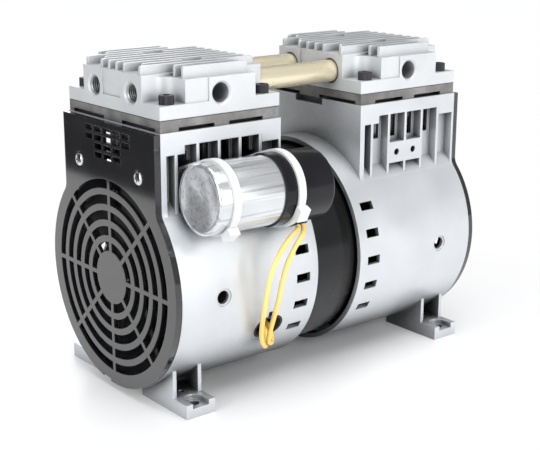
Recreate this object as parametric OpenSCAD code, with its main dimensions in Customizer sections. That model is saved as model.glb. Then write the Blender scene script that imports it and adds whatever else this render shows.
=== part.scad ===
// Oil-free twin-cylinder rocking-piston vacuum pump.
// A motor in the middle turns one shaft; an eccentric near each end drives a rod
// whose crown is the piston, under a finned head on a louvred tower.
// X runs along the shaft, the capacitor side faces -Y, Z is up and Z = 0 is the ground.
// The origin is under the middle of the shaft.

/* [Overall] */
// Height of the shaft axis above the ground
axis_h = 71; // [70.5:0.5:74]
// Distance from the middle of the pump to each cylinder's axis
cyl_x = 74; // [73:0.5:76]

/* [Housing] */
// Outer radius of the round part
drum_r = 67.6; // [66.6:0.1:69]
// Wall of the round part
wall = 3; // [2.6:0.1:3.4]
// Distance from the middle of the pump to the housing's inner rim
rim_x = 17.4; // [16.4:0.1:18]
// Length of the tower along the shaft
tower_l = 84; // [83.5:0.5:87]
// Width of the tower across the shaft
tower_w = 98.6; // [97.6:0.2:101]
// Height of the cylinder deck above the shaft axis
deck_h = 92.6; // [91:0.2:98]
// Thickness of the cylinder deck
deck_t = 7; // [6:0.5:8]
// Wall of the tower at its outer end
end_wall = 2.4; // [2:0.1:3]
// Radius of the blend between tower and round part
blend_r = 8; // [5:0.5:10]

/* [Louvres] */
// Depth of the recesses in the tower's sides
recess_d = 6.6; // [6:0.1:7]
// Thickness of the wall behind the recesses
back_t = 2.2; // [1.8:0.1:2.6]
// Thickness of each rib
rib_t = 1.9; // [1.5:0.1:2.5]
// Distance from rib to rib
rib_pitch = 14.7; // [14:0.1:15]
// Height of the window sill above the shaft axis
sill_h = 68.8; // [68:0.2:70]
// Height of the outer recesses above the shaft axis
low_top_h = 80; // [79:0.2:81]
// Height of the middle recesses above the shaft axis
high_top_h = 84.7; // [83:0.1:85]
// Height of the top of the two-hole pad above the shaft axis
pad_top_h = 66.5; // [65:0.5:67.5]
// Height of the two-hole pad
pad_face_h = 13.5; // [12:0.5:14.5]
// Diameter of the holes in the pad
pad_hole_d = 4.2; // [3.4:0.1:5]

/* [Openings in the round part] */
// Length of each vent along the shaft
vent_l = 10.2; // [9:0.1:11]
// Height of each vent
vent_h = 5.3; // [4.5:0.1:6]
// Distance from the middle of the pump to the vents
vent_x = 28.8; // [28.3:0.1:29.3]
// Angle from vent to vent
vent_step = 14.6; // [13:0.1:16]
// Diameter of the access hole near the outer end
access_d = 8; // [6:0.5:9]
// Diameter of the access hole's countersunk mouth
access_mouth_d = 10.6; // [9.5:0.1:12]
// Length of the cable hole along the shaft
cable_hole_l = 21; // [20:0.5:22]
// Height of the cable hole
cable_hole_h = 15.8; // [15:0.2:17]
// Angle of the cable hole below the horizontal
cable_angle = 25.4; // [24:0.2:27]

/* [Feet] */
// Width over the feet
feet_w = 127; // [124:0.5:132]
// Length of each foot along the shaft
foot_l = 20; // [19:0.5:22]
// Thickness of each foot
foot_t = 8.7; // [7.5:0.1:10]
// Distance from the middle of the pump to the foot holes
foot_x = 101.6; // [100.6:0.1:102.6]
// Distance between foot holes across the shaft
foot_span = 112.4; // [110.4:0.2:114]
// Diameter of the foot holes
foot_hole_d = 6.6; // [6:0.1:7]

/* [Fan covers] */
// Thickness of the cover
cover_t = 4; // [3.5:0.1:5]
// Thickness of the cover's skin
skin_t = 2.4; // [2:0.1:3]
// Radius of the solid middle of the grille
grille_hub_r = 16; // [14:0.5:17]
// Width of each grille slot
slot_w = 5.5; // [5:0.1:6]
// Distance from slot ring to slot ring
slot_pitch = 9.35; // [9:0.05:9.5]
// Width of the grille's spokes
spoke_w = 2.6; // [2:0.1:3.5]
// Distance between the two cover screws
cover_screw_span = 64; // [60:0.5:68]

/* [Cylinders and pistons] */
// Bore of each cylinder
bore_d = 62; // [61:0.2:63]
// Stroke of each piston
stroke = 9; // [8:0.2:9.6]
// Wall of the cylinder sleeve
sleeve_t = 2.5; // [2:0.1:3]
// Length of the cylinder sleeve
sleeve_l = 34; // [32:0.5:36]
// Width of each rod along the shaft
rod_w = 12; // [11:0.2:12.4]

/* [Heads] */
// Length of each head along the shaft
head_l = 83; // [82:0.5:83.4]
// Width of each head across the shaft
head_w = 96.8; // [95:0.2:98]
// Thickness of the head's flange
flange_t = 7.6; // [7:0.1:9]
// Height of the head's block above its flange
block_h = 14.8; // [14:0.1:17]
// Height of the fins above the block
fin_h = 5; // [4:0.1:7]
// Thickness of each fin
fin_t = 2; // [1.5:0.1:2.5]
// Distance from fin to fin
fin_pitch = 7.9; // [7.7:0.05:8]
// Size of the square notches at the head's corners
notch = 17.5; // [16.5:0.1:18]
// Thickness of the valve plate
plate_t = 6.5; // [6:0.1:8]
// Thickness of the head gasket
gasket_t = 0.5; // [0.4:0.1:1]

/* [Ports and tubes] */
// Diameter of the threaded ports
port_d = 11.4; // [10.8:0.1:11.8]
// Distance of the end ports from the head's notched corners
port_in = 11.4; // [10.9:0.1:11.9]
// Height of the ports above the head's underside
port_h = 11.4; // [10.8:0.1:11.6]
// Outer diameter of the transfer tubes
tube_d = 14; // [13:0.1:14.4]
// Wall of the transfer tubes
tube_t = 1.2; // [1:0.1:2]

/* [Motor] */
// Diameter of the stator core
stator_d = 125.8; // [124.8:0.1:126]
// Length of the stator core
stator_l = 44; // [43:0.5:44.4]
// Diameter of the rotor core
rotor_d = 73.2; // [70:0.1:73.4]
// Length of the winding's ends past the core
winding_l = 16; // [14:0.5:17]
// Diameter of the shaft where it carries bearings and eccentrics
shaft_d = 17; // [16:0.5:17]
// Diameter of the shaft between the bearings
shaft_mid_d = 21; // [20:0.5:23]

/* [Bearings] */
// Outer diameter of the main bearings
main_bearing_d = 40; // [38:0.5:42]
// Width of the main bearings
main_bearing_w = 12; // [11:0.2:12]
// Outer diameter of the rod bearings
rod_bearing_d = 55; // [53:0.5:57]
// Diameter of the eccentrics
eccentric_d = 30; // [29.4:0.2:31]

/* [Fans] */
// Diameter over the fan blades
fan_d = 116; // [110:0.5:120]
// Number of blades on each fan
fan_blades = 7; // [5:1:9]
// Length of the fan's hub
fan_l = 14; // [12:0.5:15]

/* [Capacitor] */
// Diameter of the capacitor can
can_d = 40; // [39:0.2:40.6]
// Length of the can that shows
can_l = 44; // [42:0.5:46]
// Length of the black cap
cap_l = 37; // [35:0.5:38]
// Thickness of the black cap's skirt
cap_t = 1; // [0.8:0.1:1.5]
// Distance of the can's outer end from the cylinder's axis
can_reach = 32; // [30:0.5:34]
// Height of the capacitor's outer end above the shaft axis
can_h = 58.9; // [58:0.1:60]
// Width of the cable ties
tie_w = 4.8; // [3.6:0.1:5.5]
// Thickness of the cable ties
tie_t = 1.4; // [1:0.1:1.6]
// Diameter of each yellow lead
lead_d = 2.9; // [2.4:0.1:3]

/* [Hidden] */
$fn = 64;

// Clearances and small steps
fit = 0.03;
run = 0.05;
gap = 0.3;
cut = 1;
soft_r = 2.5;

// Throw of each eccentric and the places along the shaft
throw = stroke / 2;
end_x = cyl_x + tower_l / 2;
tower_x0 = cyl_x - tower_l / 2;
drum_in_r = drum_r - wall;
side_y = tower_w / 2;
back_y = side_y - recess_d;
cavity_y = back_y - back_t;
cavity_x0 = tower_x0 + wall;
cavity_x1 = end_x - end_wall;
deck_z = axis_h + deck_h;

// Louvres, measured from the cylinder's axis and the shaft axis
ribs = 5;
rib_shift = -2.6;
column_in = 3.6;
column_out = 1.6;
high_in = 15.8;
high_out = 14;
recess_skin = 0.3;
window_in = 2;
deck_boss_d = 10;
deck_boss_l = 6;
tie_slot_hs = [6, 6];
tie_slot_low_hs = [6, 13];
tie_slot_w = 5.6;
tie_slot_drop = 10.9;

// Deck: notch toward the middle, sleeve seat and bolt places
notch_w = 26.5;
notch_drop = 4.1;
notch_run = 4;
sleeve_r = bore_d / 2 + sleeve_t;
sleeve_flange = 4;
sleeve_flange_t = 3;
bolt_d = 5;
bolt_free_d = 5.5;
bolt_head_d = 8.5;
bolt_head_t = 4.8;
bolt_l = 25;
bolt_key = 4;
bolt_key_t = 2.5;
bolt_in_x = 8.5;
bolt_in_y = 6;

// Bearing web inside each housing
web_t = 3;
web_out = 0.5;
web_top = 49;
web_hole_r = 11;
web_hole_at = 42;
web_holes = 6;
hub_wall = 6;
lip_t = 2;
lip_w = 3;
bearing_gap = 4;
bearing_x1 = cyl_x - rod_w / 2 - bearing_gap;
bearing_x0 = bearing_x1 - main_bearing_w;
web_x1 = bearing_x1 + web_out;

// Lugs that seat the stator, and the bolts through them
stator_r = stator_d / 2;
stator_x = stator_l / 2;
lug_w = 14;
lug_back = 3;
lug_t = 12;
lug_in_r = 57;
lug_angles = [60, 120, 240, 300];
stay_d = 5;
stay_in = 3.4;
stay_head_d = 8.4;
stay_head_t = 4;

// Vents round the front and the rear of the round part
vents = [-2, -1, 0, 1, 2];
vent_drop = 1.1;
access_in = 28.3;
access_mouth_t = 0.8;
cable_in = 65.4;
cable_notch_w = 4.6;
cable_notch_l = 3.4;
cable_round_x = (cable_hole_l - cable_hole_h) / 2;

// Feet: recess round each hole, the small hole behind it and the two gussets
foot_recess_w = 11.2;
foot_recess_t = 3;
foot_in_y = 30;
gusset_t = 2.5;
gusset_y = 50;
gusset_in_y = 17;
pin_hole_d = 3.5;
pin_hole_in = 12.4;

// Fan cover details
cover_inset = 0.4;
cover_rim = 2.4;
grille_rings = 5;
spokes = 8;
cover_screw_h = 65.6;
cover_screw_d = 4;
cover_screw_head_d = 8;
cover_screw_head_t = 2.2;
cover_screw_l = 9;
screw_rim_share = 2 / 3;
screw_top_share = 3 / 4;
screw_key_w = 1;
cover_recess_d = 9.8;
cover_recess_t = 1.2;
screw_boss_d = 9.5;
screw_boss_l = 8;
cell_w = 8.2;
cell_h = 3.4;
cell_pitch_y = 9.9;
cell_pitch_z = 5;
cell_top_h = 87;
end_window_w = 52;
end_window_h = 20;
notch_low_w = 8.5;
notch_low_d = 1.5;
notch_low_y = 4.5;

// Valve plate, gasket and the chambers in the head
plate_slot_in = 5.2;
plate_slot_out = 29.3;
plate_slot_h = 2.2;
plate_slot_d = 6.5;
plate_end_in = 9.5;
plate_end_out = 43.5;
plate_end_d = 3.4;
chamber_in = 4;
chamber_wall = 19.4;
chamber_end_wall = 14.5;
chamber_out = head_w / 2 - chamber_wall;
chamber_x = head_l / 2 - chamber_end_wall;
chamber_h = 17;
gasket_rim = 1;
head_r = 8.5;
fins = 2 * floor((head_w - fin_t) / 2 / fin_pitch + 1 / 2);
fin_round = 1.5;
short_fin_share = 2.5;
short_fin_in = 8;
fin_end_in = 4;
arm_drop = 1.6;
pad_step = 0.8;
pad_gap_y0 = -9;
pad_gap_y1 = 10;
side_pad_in = 9.5;
pocket_l = 14;
pocket_t = 3;
pocket_share = 2 / 3;
port_mouth_d = 13.7;
port_mouth_t = 1.1;
port_y = head_w / 2 - notch - port_in;
port_l = head_l / 2 - chamber_x;
socket_mouth_d = 15.8;
socket_mouth_t = 1.4;
ring_t = 0.8;
tube_in = 9;
side_port_l = head_w / 2 - chamber_out;

// Reed valves and what holds them
reed_l = 28;
reed_w = 12;
reed_t = 0.4;
reed_lift = 0.3;
reed_gap = 0.8;
reed_shift = 1.5;
reed_y = (chamber_in + chamber_out) / 2 - reed_shift;
valve_hole_d = 7;
valve_hole_x = 6;
reed_pocket_t = 2.2;
reed_pocket_gap = 1.5;
reed_screw_d = 3;
reed_screw_head_d = 5.6;
reed_screw_head_t = 1.4;
flat_head_t = 0.6;
reed_screw_in = 3.5;
reed_hole_d = 4.4;
stop_t = 1;
stop_rise = 3;

// Rod, piston crown, cup and retainer
tdc_gap = 1;
big_end_wall = 5;
stem_w = 20;
crown_t = 6;
crown_gap = 0.5;
cup_t = 1.2;
cup_lip_h = 3.5;
retainer_t = 3;
retainer_in = 5;
retainer_screw_d = 6;
retainer_head_d = 12;
rod_l = deck_h - tdc_gap - throw;
crown_r = bore_d / 2 - throw - crown_gap;

// Eccentric with its counterweight, and the fan beside it
ecc_flange_t = 2;
ecc_flange_r = 17.5;
journal_w = rod_w + 2;
weight_r = 38;
weight_t = 12;
weight_x0 = cyl_x + journal_w / 2;
fan_gap = 1.5;
fan_x0 = weight_x0 + weight_t + fan_gap;
fan_hub_r = 15;
blade_t = 2;
blade_pitch = 42;
blade_l = 17;
blade_in = 0.5;
set_screw_d = 5;
set_screw_x = end_x - access_in;
shaft_x = fan_x0 + fan_l + fan_gap;

// Motor details
stator_slots = 24;
tooth_w = 4.6;
slot_in_r = 39.6;
slot_out_r = 54;
slot_mouth = 2;
air_gap = 0.4;
coil_gap = 0.4;
winding_in_r = 40.4;
winding_gap = 0.5;
winding_out_r = stator_r - stay_in - stay_head_d / 2 - winding_gap;
winding_round = 4;
cage_t = 7;
cage_in_r = 20;
cage_step = 1.5;

// Bearing details
race_t = 3.4;
shield_in = 0.6;

// Capacitor: axis, lean toward the motor, rounded end, lead outlet and ties
can_r = can_d / 2;
cap_r = can_r + cap_t;
can_y = side_y + can_r + cap_t - fit;
can_z = axis_h + can_h;
can_x0 = -cyl_x - can_reach;
can_lean = 1.7;
can_round = 1.8;
cap_round = 3;
cap_end_t = 2;
can_in_cap = 24;
outlet_angle = 60;
outlet_l = 9;
outlet_w = 5;
outlet_h = 2;
outlet_in = 19;
outlet_x = can_l + cap_l - outlet_in;
tie_sides = 40;
tie_lock = [7, 8, 4.6];
tie_lock_angles = [50, 26];
can_tie_share = 1.29;
cap_tie_share = 1.72;
can_tie_x = -cyl_x + rib_shift - can_tie_share * rib_pitch;
cap_tie_x = -cyl_x + rib_shift + cap_tie_share * rib_pitch;
tie_xs = [can_tie_x, cap_tie_x];

// Grommet in the cable hole
grommet_t = 1.5;
grommet_in = 1;

// Routes of the two yellow leads, from the capacitor's cap to the winding,
// with X counted from the left cylinder's axis
lead_a = [
    [28, -81.8, 108.1], [27.5, -82.7, 106.9], [25.4, -84.2, 106.2], [22, -85.2, 105],
    [19.1, -85.7, 103.2], [16.6, -85.9, 101.1], [14.3, -86, 98.9], [12, -85.9, 96],
    [10, -85.5, 92.6], [8.2, -84.7, 88.2], [7.2, -83.6, 83], [6.7, -82.2, 77.5],
    [6.8, -80.4, 71], [7.4, -78.4, 64.5], [8.4, -75.8, 57.5], [9.7, -73, 51],
    [11, -70.6, 45], [12.2, -69, 40.2], [14.2, -67.4, 36.2], [16.8, -65.6, 32.9],
    [19.4, -63.6, 31.5], [21.2, -61.9, 32.9], [22, -60.9, 36.2], [22.4, -59.6, 39.4],
    [23, -57, 41.2], [24.2, -53.6, 42.6], [26.4, -50.2, 44.8], [29.4, -47, 47.4],
    [32.6, -45.2, 49.6], [35.7, -44.6, 50.4]];
lead_b = [
    [31.8, -81.8, 108.1], [31.4, -82.9, 106.4], [29.7, -84.8, 104.7], [27.5, -86.4, 103.6],
    [25.5, -87.1, 102], [23.7, -87.2, 100], [22, -87, 97.6], [20.4, -86.5, 94.6],
    [19, -85.7, 91.2], [17.8, -84.7, 87.2], [17.1, -83.3, 82], [16.7, -81.9, 76.5],
    [16.7, -80.1, 70], [17, -78, 63.6], [17.3, -75.4, 57], [17.6, -72.9, 50.6],
    [17.8, -70.4, 44.4], [18.1, -68.6, 39], [19.2, -66.6, 35.4], [22.2, -65.1, 33.3],
    [24.6, -63, 34], [25.6, -61.3, 36.6], [26, -59.7, 39.4], [26.4, -57.2, 41],
    [27.6, -53.8, 41.5], [28.8, -50, 42], [30.6, -46.2, 42.8], [33, -43, 43.9],
    [35.7, -41.6, 44.4]];
lead_sides = 8;

// Helpers for placing shapes

// Draws an outline in Y and height above the shaft axis, and runs it along X
module along_x(x0, x1) {
    translate([x0, 0, axis_h])
        rotate([90, 0, 90])
            linear_extrude(x1 - x0)
                children();
}

// A round bar along the shaft axis
module bar_x(x0, x1, r) {
    translate([x0, 0, axis_h])
        rotate([0, 90, 0])
            cylinder(r = r, h = x1 - x0);
}

// A ring along the shaft axis
module ring_x(x0, x1, r, r_in) {
    difference() {
        bar_x(x0, x1, r);
        bar_x(x0 - cut, x1 + cut, r_in);
    }
}

// Turns a right-hand part into its left-hand twin
module turned() {
    rotate([0, 0, 180])
        children();
}

// Moves a piece drawn on the Z axis to a cylinder
module at_cylinder(side) {
    translate([side * cyl_x, 0, 0])
        children();
}

module box(low, high) {
    translate(low)
        cube(high - low);
}

// The housings

// The blend where the tower's side meets the round part
module blend_outline(inset) {
    side = side_y - inset;
    round_r = drum_r - inset;
    blend = blend_r + inset;
    rise = sqrt(pow(drum_r + blend_r, 2) - pow(side_y + blend_r, 2));
    share = round_r / (round_r + blend);
    difference() {
        polygon([[0, 0], [(side + blend) * share, rise * share], [side + blend, rise], [0, rise]]);
        translate([side + blend, rise])
            circle(r = blend);
    }
}

// Outline of a housing's outer end, which the fan cover follows
module end_outline(inset) {
    circle(r = drum_r - inset);
    translate([inset - side_y, 0])
        square([tower_w - 2 * inset, deck_h - inset]);
    blend_outline(inset);
    mirror([1, 0])
        blend_outline(inset);
}

// Recesses in the side at -Y, drawn about the cylinder's axis; ribs and pad stay
module side_recesses() {
    low = [-tower_l / 2 + column_in, -side_y - blend_r, axis_h];
    difference() {
        union() {
            box(low, [tower_l / 2 - column_out, -back_y, axis_h + low_top_h]);
            box([low[0] + high_in - column_in, low[1], low[2]],
                [tower_l / 2 - high_out, -back_y, axis_h + high_top_h]);
        }
        for (i = [0:ribs - 1])
            translate([rib_shift + (i - (ribs - 1) / 2) * rib_pitch - rib_t / 2, -side_y, axis_h])
                cube([rib_t, recess_d + cut, deck_h]);
        box([rib_shift - rib_pitch, -side_y, axis_h + pad_top_h - pad_face_h],
            [rib_shift + rib_pitch, -back_y + cut, axis_h + pad_top_h]);
        rotate([0, 90, 0])
            translate([-axis_h, 0, 0])
                cylinder(r = drum_r + recess_skin, h = 2 * tower_l, center = true);
    }
}

// Windows through the wall behind the four middle recesses
module side_windows() {
    for (i = [0:ribs - 2]) {
        x0 = rib_shift + (i - (ribs - 1) / 2) * rib_pitch + rib_t / 2;
        x1 = x0 + rib_pitch - rib_t;
        top = (i == 0) ? low_top_h : high_top_h;
        box([x0 + window_in, -back_y - cut, axis_h + sill_h],
            [x1 - window_in, -cavity_y + cut, axis_h + top]);
    }
    for (i = [0, 1])
        translate([rib_shift + (i - 1 / 2) * rib_pitch, cut - cavity_y,
                   axis_h + pad_top_h - pad_face_h / 2])
            rotate([90, 0, 0])
                cylinder(d = pad_hole_d, h = side_y - cavity_y + 2 * cut);
}

// Ways for the capacitor's ties, which lean as it does: in above the windows' sill and out
// through slots under it
module tie_slots() {
    low_top = sill_h - tie_slot_drop;
    for (i = [0, 1], span = [[sill_h, sill_h + tie_slot_hs[i]],
                             [low_top - tie_slot_low_hs[i], low_top]]) {
        x = tie_xs[i] + (axis_h + (span[0] + span[1]) / 2 - can_z) * tan(can_lean);
        box([x - tie_slot_w / 2, -can_y, axis_h + span[0]],
            [x + tie_slot_w / 2, -cavity_y + cut, axis_h + span[1]]);
    }
}

// Places a cut through the wall of the round part at an angle above the horizontal at -Y
module at_drum(x, angle) {
    translate([x, 0, axis_h])
        rotate([-angle, 0, 0])
            translate([0, -drum_r, 0])
                children();
}

module drum_vents() {
    for (turn = [0, 180], i = vents)
        rotate([0, 0, turn])
            at_drum((turn == 0) ? vent_x : -vent_x, i * vent_step - vent_drop)
                translate([-vent_l / 2, -wall, -vent_h / 2])
                    cube([vent_l, 3 * wall, vent_h]);
    for (turn = [0, 180])
        rotate([0, 0, turn])
            at_drum((turn == 0) ? end_x - access_in : access_in - end_x, -vent_drop)
                rotate([-90, 0, 0]) {
                    translate([0, 0, -cut])
                        cylinder(d = access_d, h = 2 * wall + cut);
                    translate([0, 0, -cut])
                        cylinder(d = access_mouth_d, h = access_mouth_t + cut);
                }
}

// Outline of the cable hole, with round ends, made smaller by an inset
module cable_outline(inset) {
    high = cable_hole_h - 2 * inset;
    for (x = [-cable_round_x, cable_round_x])
        translate([x, 0])
            circle(d = high);
    translate([-cable_round_x, -high / 2])
        square([2 * cable_round_x, high]);
}

// Cable hole in the left housing, with a small square notch above it
module cable_hole_cut() {
    at_drum(cable_in - end_x, -cable_angle) {
        rotate([-90, 0, 0])
            translate([0, 0, -wall])
                linear_extrude(3 * wall)
                    cable_outline(0);
        translate([-cable_notch_w / 2, -wall, 0])
            cube([cable_notch_w, 3 * wall, cable_hole_h / 2 + cable_notch_l]);
    }
}

// One foot at -Y on the right housing, with its gussets
module foot_solid() {
    x0 = foot_x - foot_l / 2;
    x1 = foot_x + foot_l / 2;
    difference() {
        box([x0, -feet_w / 2, 0], [x1, -foot_in_y, foot_t]);
        translate([foot_x, -foot_span / 2, -cut])
            cylinder(d = foot_hole_d, h = foot_t + 2 * cut);
        translate([foot_x, -foot_span / 2, foot_t - foot_recess_t])
            cylinder(d = foot_recess_w, h = foot_recess_t + cut);
        box([foot_x - foot_recess_w / 2, -feet_w / 2 - cut, foot_t - foot_recess_t],
            [foot_x + foot_recess_w / 2, -foot_span / 2, foot_t + cut]);
        translate([foot_x, pin_hole_in - foot_span / 2, -cut])
            cylinder(d = pin_hole_d, h = foot_t + 2 * cut);
    }
    for (x = [x0, x1 - gusset_t])
        along_x(x, x + gusset_t)
            difference() {
                translate([-gusset_y, -axis_h])
                    square([gusset_y - gusset_in_y, axis_h]);
                circle(r = drum_r - wall / 2);
            }
}

// Web with the bearing seat; its top is cut level to clear the cylinder
module bearing_web() {
    seat_r = main_bearing_d / 2 + fit;
    difference() {
        union() {
            difference() {
                bar_x(web_x1 - web_t, web_x1, drum_in_r + wall / 2);
                for (i = [0:web_holes - 1])
                    translate([0, web_hole_at * cos(i * 360 / web_holes),
                               web_hole_at * sin(i * 360 / web_holes)])
                        bar_x(web_x1 - web_t - cut, web_x1 + cut, web_hole_r);
                box([0, -cavity_y, axis_h + web_top], [end_x, cavity_y, deck_z]);
            }
            bar_x(bearing_x0 - lip_t, web_x1, seat_r + hub_wall);
        }
        bar_x(bearing_x0, web_x1 + cut, seat_r);
        bar_x(bearing_x0 - lip_t - cut, web_x1, seat_r - lip_w);
    }
}

// Four lugs that centre the stator and take its bolts
module stator_lugs() {
    difference() {
        intersection() {
            for (a = lug_angles)
                translate([0, 0, axis_h])
                    rotate([a, 0, 0])
                        translate([stator_x - lug_back, 0, -lug_w / 2])
                            cube([lug_back + lug_t, drum_r, lug_w]);
            ring_x(rim_x, stator_x + lug_t, drum_in_r + wall / 2, lug_in_r);
        }
        bar_x(rim_x, stator_x, stator_r + fit);
        stay_places()
            bar_x(0, stator_x + lug_t + cut, stay_d / 2 + fit);
    }
}

// Repeats a bar on the shaft axis at the four stator bolts
module stay_places() {
    for (a = lug_angles)
        translate([0, (stator_r - stay_in) * cos(a), (stator_r - stay_in) * sin(a)])
            children();
}

// The right housing; with_leads adds what only the left one has, on its rear
module housing(with_leads) {
    color([0.78, 0.79, 0.81])
        difference() {
            union() {
                difference() {
                    union() {
                        along_x(rim_x, tower_x0)
                            difference() {
                                circle(r = drum_r);
                                circle(r = drum_in_r);
                            }
                        along_x(tower_x0, end_x)
                            difference() {
                                end_outline(0);
                                circle(r = drum_in_r);
                            }
                        foot_solid();
                        mirror([0, 1, 0])
                            foot_solid();
                    }
                    box([cavity_x0, -cavity_y, axis_h], [cavity_x1, cavity_y, deck_z - deck_t]);
                    box([cavity_x1 - cut, -end_window_w / 2, deck_z - deck_t - end_window_h],
                        [end_x + cut, end_window_w / 2, deck_z - deck_t]);
                }
                bearing_web();
                stator_lugs();
                translate([cyl_x, 0, deck_z - deck_t - deck_boss_l])
                    head_bolt_places()
                        cylinder(d = deck_boss_d, h = deck_boss_l + deck_t / 2);
                for (y = [-1, 1])
                    translate([end_x - screw_boss_l - end_wall, y * cover_screw_span / 2,
                               axis_h + cover_screw_h])
                        rotate([0, 90, 0])
                            cylinder(d = screw_boss_d, h = screw_boss_l + end_wall / 2);
            }
            for (turn = [0, 180])
                translate([cyl_x, 0, 0])
                    rotate([0, 0, turn]) {
                        side_recesses();
                        side_windows();
                    }
            translate([cyl_x, 0, 0]) {
                translate([0, 0, deck_z - deck_t - cut])
                    cylinder(r = sleeve_r + fit, h = deck_t + 2 * cut);
                translate([0, 0, deck_z - sleeve_flange_t])
                    cylinder(r = sleeve_r + sleeve_flange + fit, h = sleeve_flange_t + cut);
                head_bolt_places()
                    translate([0, 0, deck_z + plate_t + gasket_t + flange_t - bolt_l - cut])
                        cylinder(d = bolt_d + 2 * fit, h = bolt_l);
            }
            box([tower_x0 - cut, -notch_w / 2, deck_z - notch_drop],
                [tower_x0 + notch_run, notch_w / 2, deck_z + cut]);
            drum_vents();
            for (y = [-1, 1])
                translate([end_x - screw_boss_l - end_wall - cut, y * cover_screw_span / 2,
                           axis_h + cover_screw_h])
                    rotate([0, 90, 0])
                        cylinder(d = cover_screw_d + 2 * fit, h = screw_boss_l + end_wall + 2 * cut);
            if (with_leads)
                turned() {
                    cable_hole_cut();
                    tie_slots();
                }
        }
}

module left_housing() {
    turned()
        housing(true);
}

module right_housing() {
    housing(false);
}

// Fan covers and their screws

// Slots of the grille, as an outline about the shaft axis
module grille_outline() {
    difference() {
        for (i = [0:grille_rings - 1])
            difference() {
                circle(r = grille_hub_r + i * slot_pitch + slot_w);
                circle(r = grille_hub_r + i * slot_pitch);
            }
        for (i = [0:spokes - 1])
            rotate(i * 360 / spokes)
                translate([0, -spoke_w / 2])
                    square([drum_r, spoke_w]);
    }
}

// Small vent grid above the cover's screws: three long columns and two short ones
module cell_outline() {
    for (col = [-2:2], row = [0:(abs(col) < 2) ? 3 : 1])
        translate([col * cell_pitch_y - cell_w / 2, cell_top_h - row * cell_pitch_z - cell_h / 2])
            square([cell_w, cell_h]);
}

module fan_cover() {
    color([0.05, 0.05, 0.06])
        difference() {
            along_x(end_x, end_x + cover_t)
                end_outline(cover_inset);
            along_x(end_x - cut, end_x + cover_t + cut)
                difference() {
                    translate([-notch_low_y - notch_low_w, -drum_r - cut])
                        square([notch_low_w, drum_r]);
                    circle(r = drum_r - cover_inset - notch_low_d);
                }
            along_x(end_x - cut, end_x + cover_t - skin_t)
                intersection() {
                    end_outline(cover_inset + cover_rim);
                    difference() {
                        translate([-drum_r, -drum_r])
                            square([2 * drum_r, drum_r + deck_h]);
                        for (y = [-1, 1])
                            translate([y * cover_screw_span / 2, cover_screw_h])
                                circle(d = screw_boss_d);
                    }
                }
            along_x(end_x - cut, end_x + cover_t + cut) {
                grille_outline();
                cell_outline();
            }
            for (y = [-1, 1])
                translate([end_x, y * cover_screw_span / 2, axis_h + cover_screw_h])
                    rotate([0, 90, 0]) {
                        translate([0, 0, -cut])
                            cylinder(d = cover_screw_d + 2 * gap, h = cover_t + 2 * cut);
                        translate([0, 0, cover_t - cover_recess_t])
                            cylinder(d = cover_recess_d, h = cover_recess_t + cut);
                    }
        }
}

// Two cross-recessed screws through the fan cover
module cover_screws() {
    color([0.85, 0.85, 0.85])
        for (y = [-1, 1])
            translate([end_x + cover_t - cover_recess_t, y * cover_screw_span / 2,
                       axis_h + cover_screw_h])
                rotate([0, 90, 0])
                    difference() {
                        union() {
                            translate([0, 0, -cover_screw_l - cover_t])
                                cylinder(d = cover_screw_d, h = cover_screw_l + cover_t);
                            cylinder(d = cover_screw_head_d, h = cover_screw_head_t * screw_rim_share);
                            cylinder(d = cover_screw_head_d * screw_top_share, h = cover_screw_head_t);
                        }
                        for (turn = [0, 90])
                            rotate([0, 0, turn])
                                translate([-cover_screw_d / 2, -screw_key_w / 2,
                                           cover_screw_head_t / 2])
                                    cube([cover_screw_d, screw_key_w, cover_screw_head_t]);
                    }
}

// Cylinders, valve plates and heads, each drawn about its own cylinder's axis

// The four bolt places on a head
module head_bolt_places() {
    for (x = [-1, 1], y = [-1, 1])
        translate([x * (head_l / 2 - bolt_in_x), y * (head_w / 2 - bolt_in_y), 0])
            children();
}

module cylinder_sleeve() {
    color([0.7, 0.72, 0.74])
        translate([0, 0, deck_z - sleeve_l])
            difference() {
                union() {
                    cylinder(r = sleeve_r, h = sleeve_l);
                    translate([0, 0, sleeve_l - sleeve_flange_t])
                        cylinder(r = sleeve_r + sleeve_flange, h = sleeve_flange_t);
                }
                translate([0, 0, -cut])
                    cylinder(d = bore_d, h = sleeve_l + 2 * cut);
            }
}

// Space for a reed: from its fixed end, with room all round it
module reed_room(h) {
    translate([-reed_l / 2 - reed_pocket_gap, -reed_w / 2 - reed_pocket_gap, 0])
        cube([reed_l + 2 * reed_pocket_gap, reed_w + 2 * reed_pocket_gap, h]);
}

module valve_plate() {
    color([0.5, 0.48, 0.45])
        translate([0, 0, deck_z])
            difference() {
                translate([-head_l / 2, -head_w / 2, 0])
                    cube([head_l, head_w, plate_t]);
                head_bolt_places()
                    translate([0, 0, -cut])
                        cylinder(d = bolt_free_d, h = plate_t + 2 * cut);
                for (x = [-1, 1], y = [-1, 1]) {
                    translate([(x < 0) ? -plate_slot_out : plate_slot_in,
                               (y < 0) ? -head_w / 2 - cut : head_w / 2 - plate_slot_d, -cut])
                        cube([plate_slot_out - plate_slot_in, plate_slot_d + cut, plate_slot_h + cut]);
                    translate([(x < 0) ? -head_l / 2 - cut : head_l / 2 - plate_end_d,
                               (y < 0) ? -plate_end_out : plate_end_in, -cut])
                        cube([plate_end_d + cut, plate_end_out - plate_end_in, plate_slot_h + cut]);
                }
                translate([0, -reed_y, -cut])
                    reed_room(reed_pocket_t + cut);
                for (y = [-1, 1]) {
                    translate([valve_hole_x, y * reed_y, -cut])
                        cylinder(d = valve_hole_d, h = plate_t + 2 * cut);
                    translate([-reed_l / 2 + reed_screw_in, y * reed_y, -cut])
                        cylinder(d = reed_screw_d + 2 * fit, h = plate_t + 2 * cut);
                }
            }
}

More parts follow.
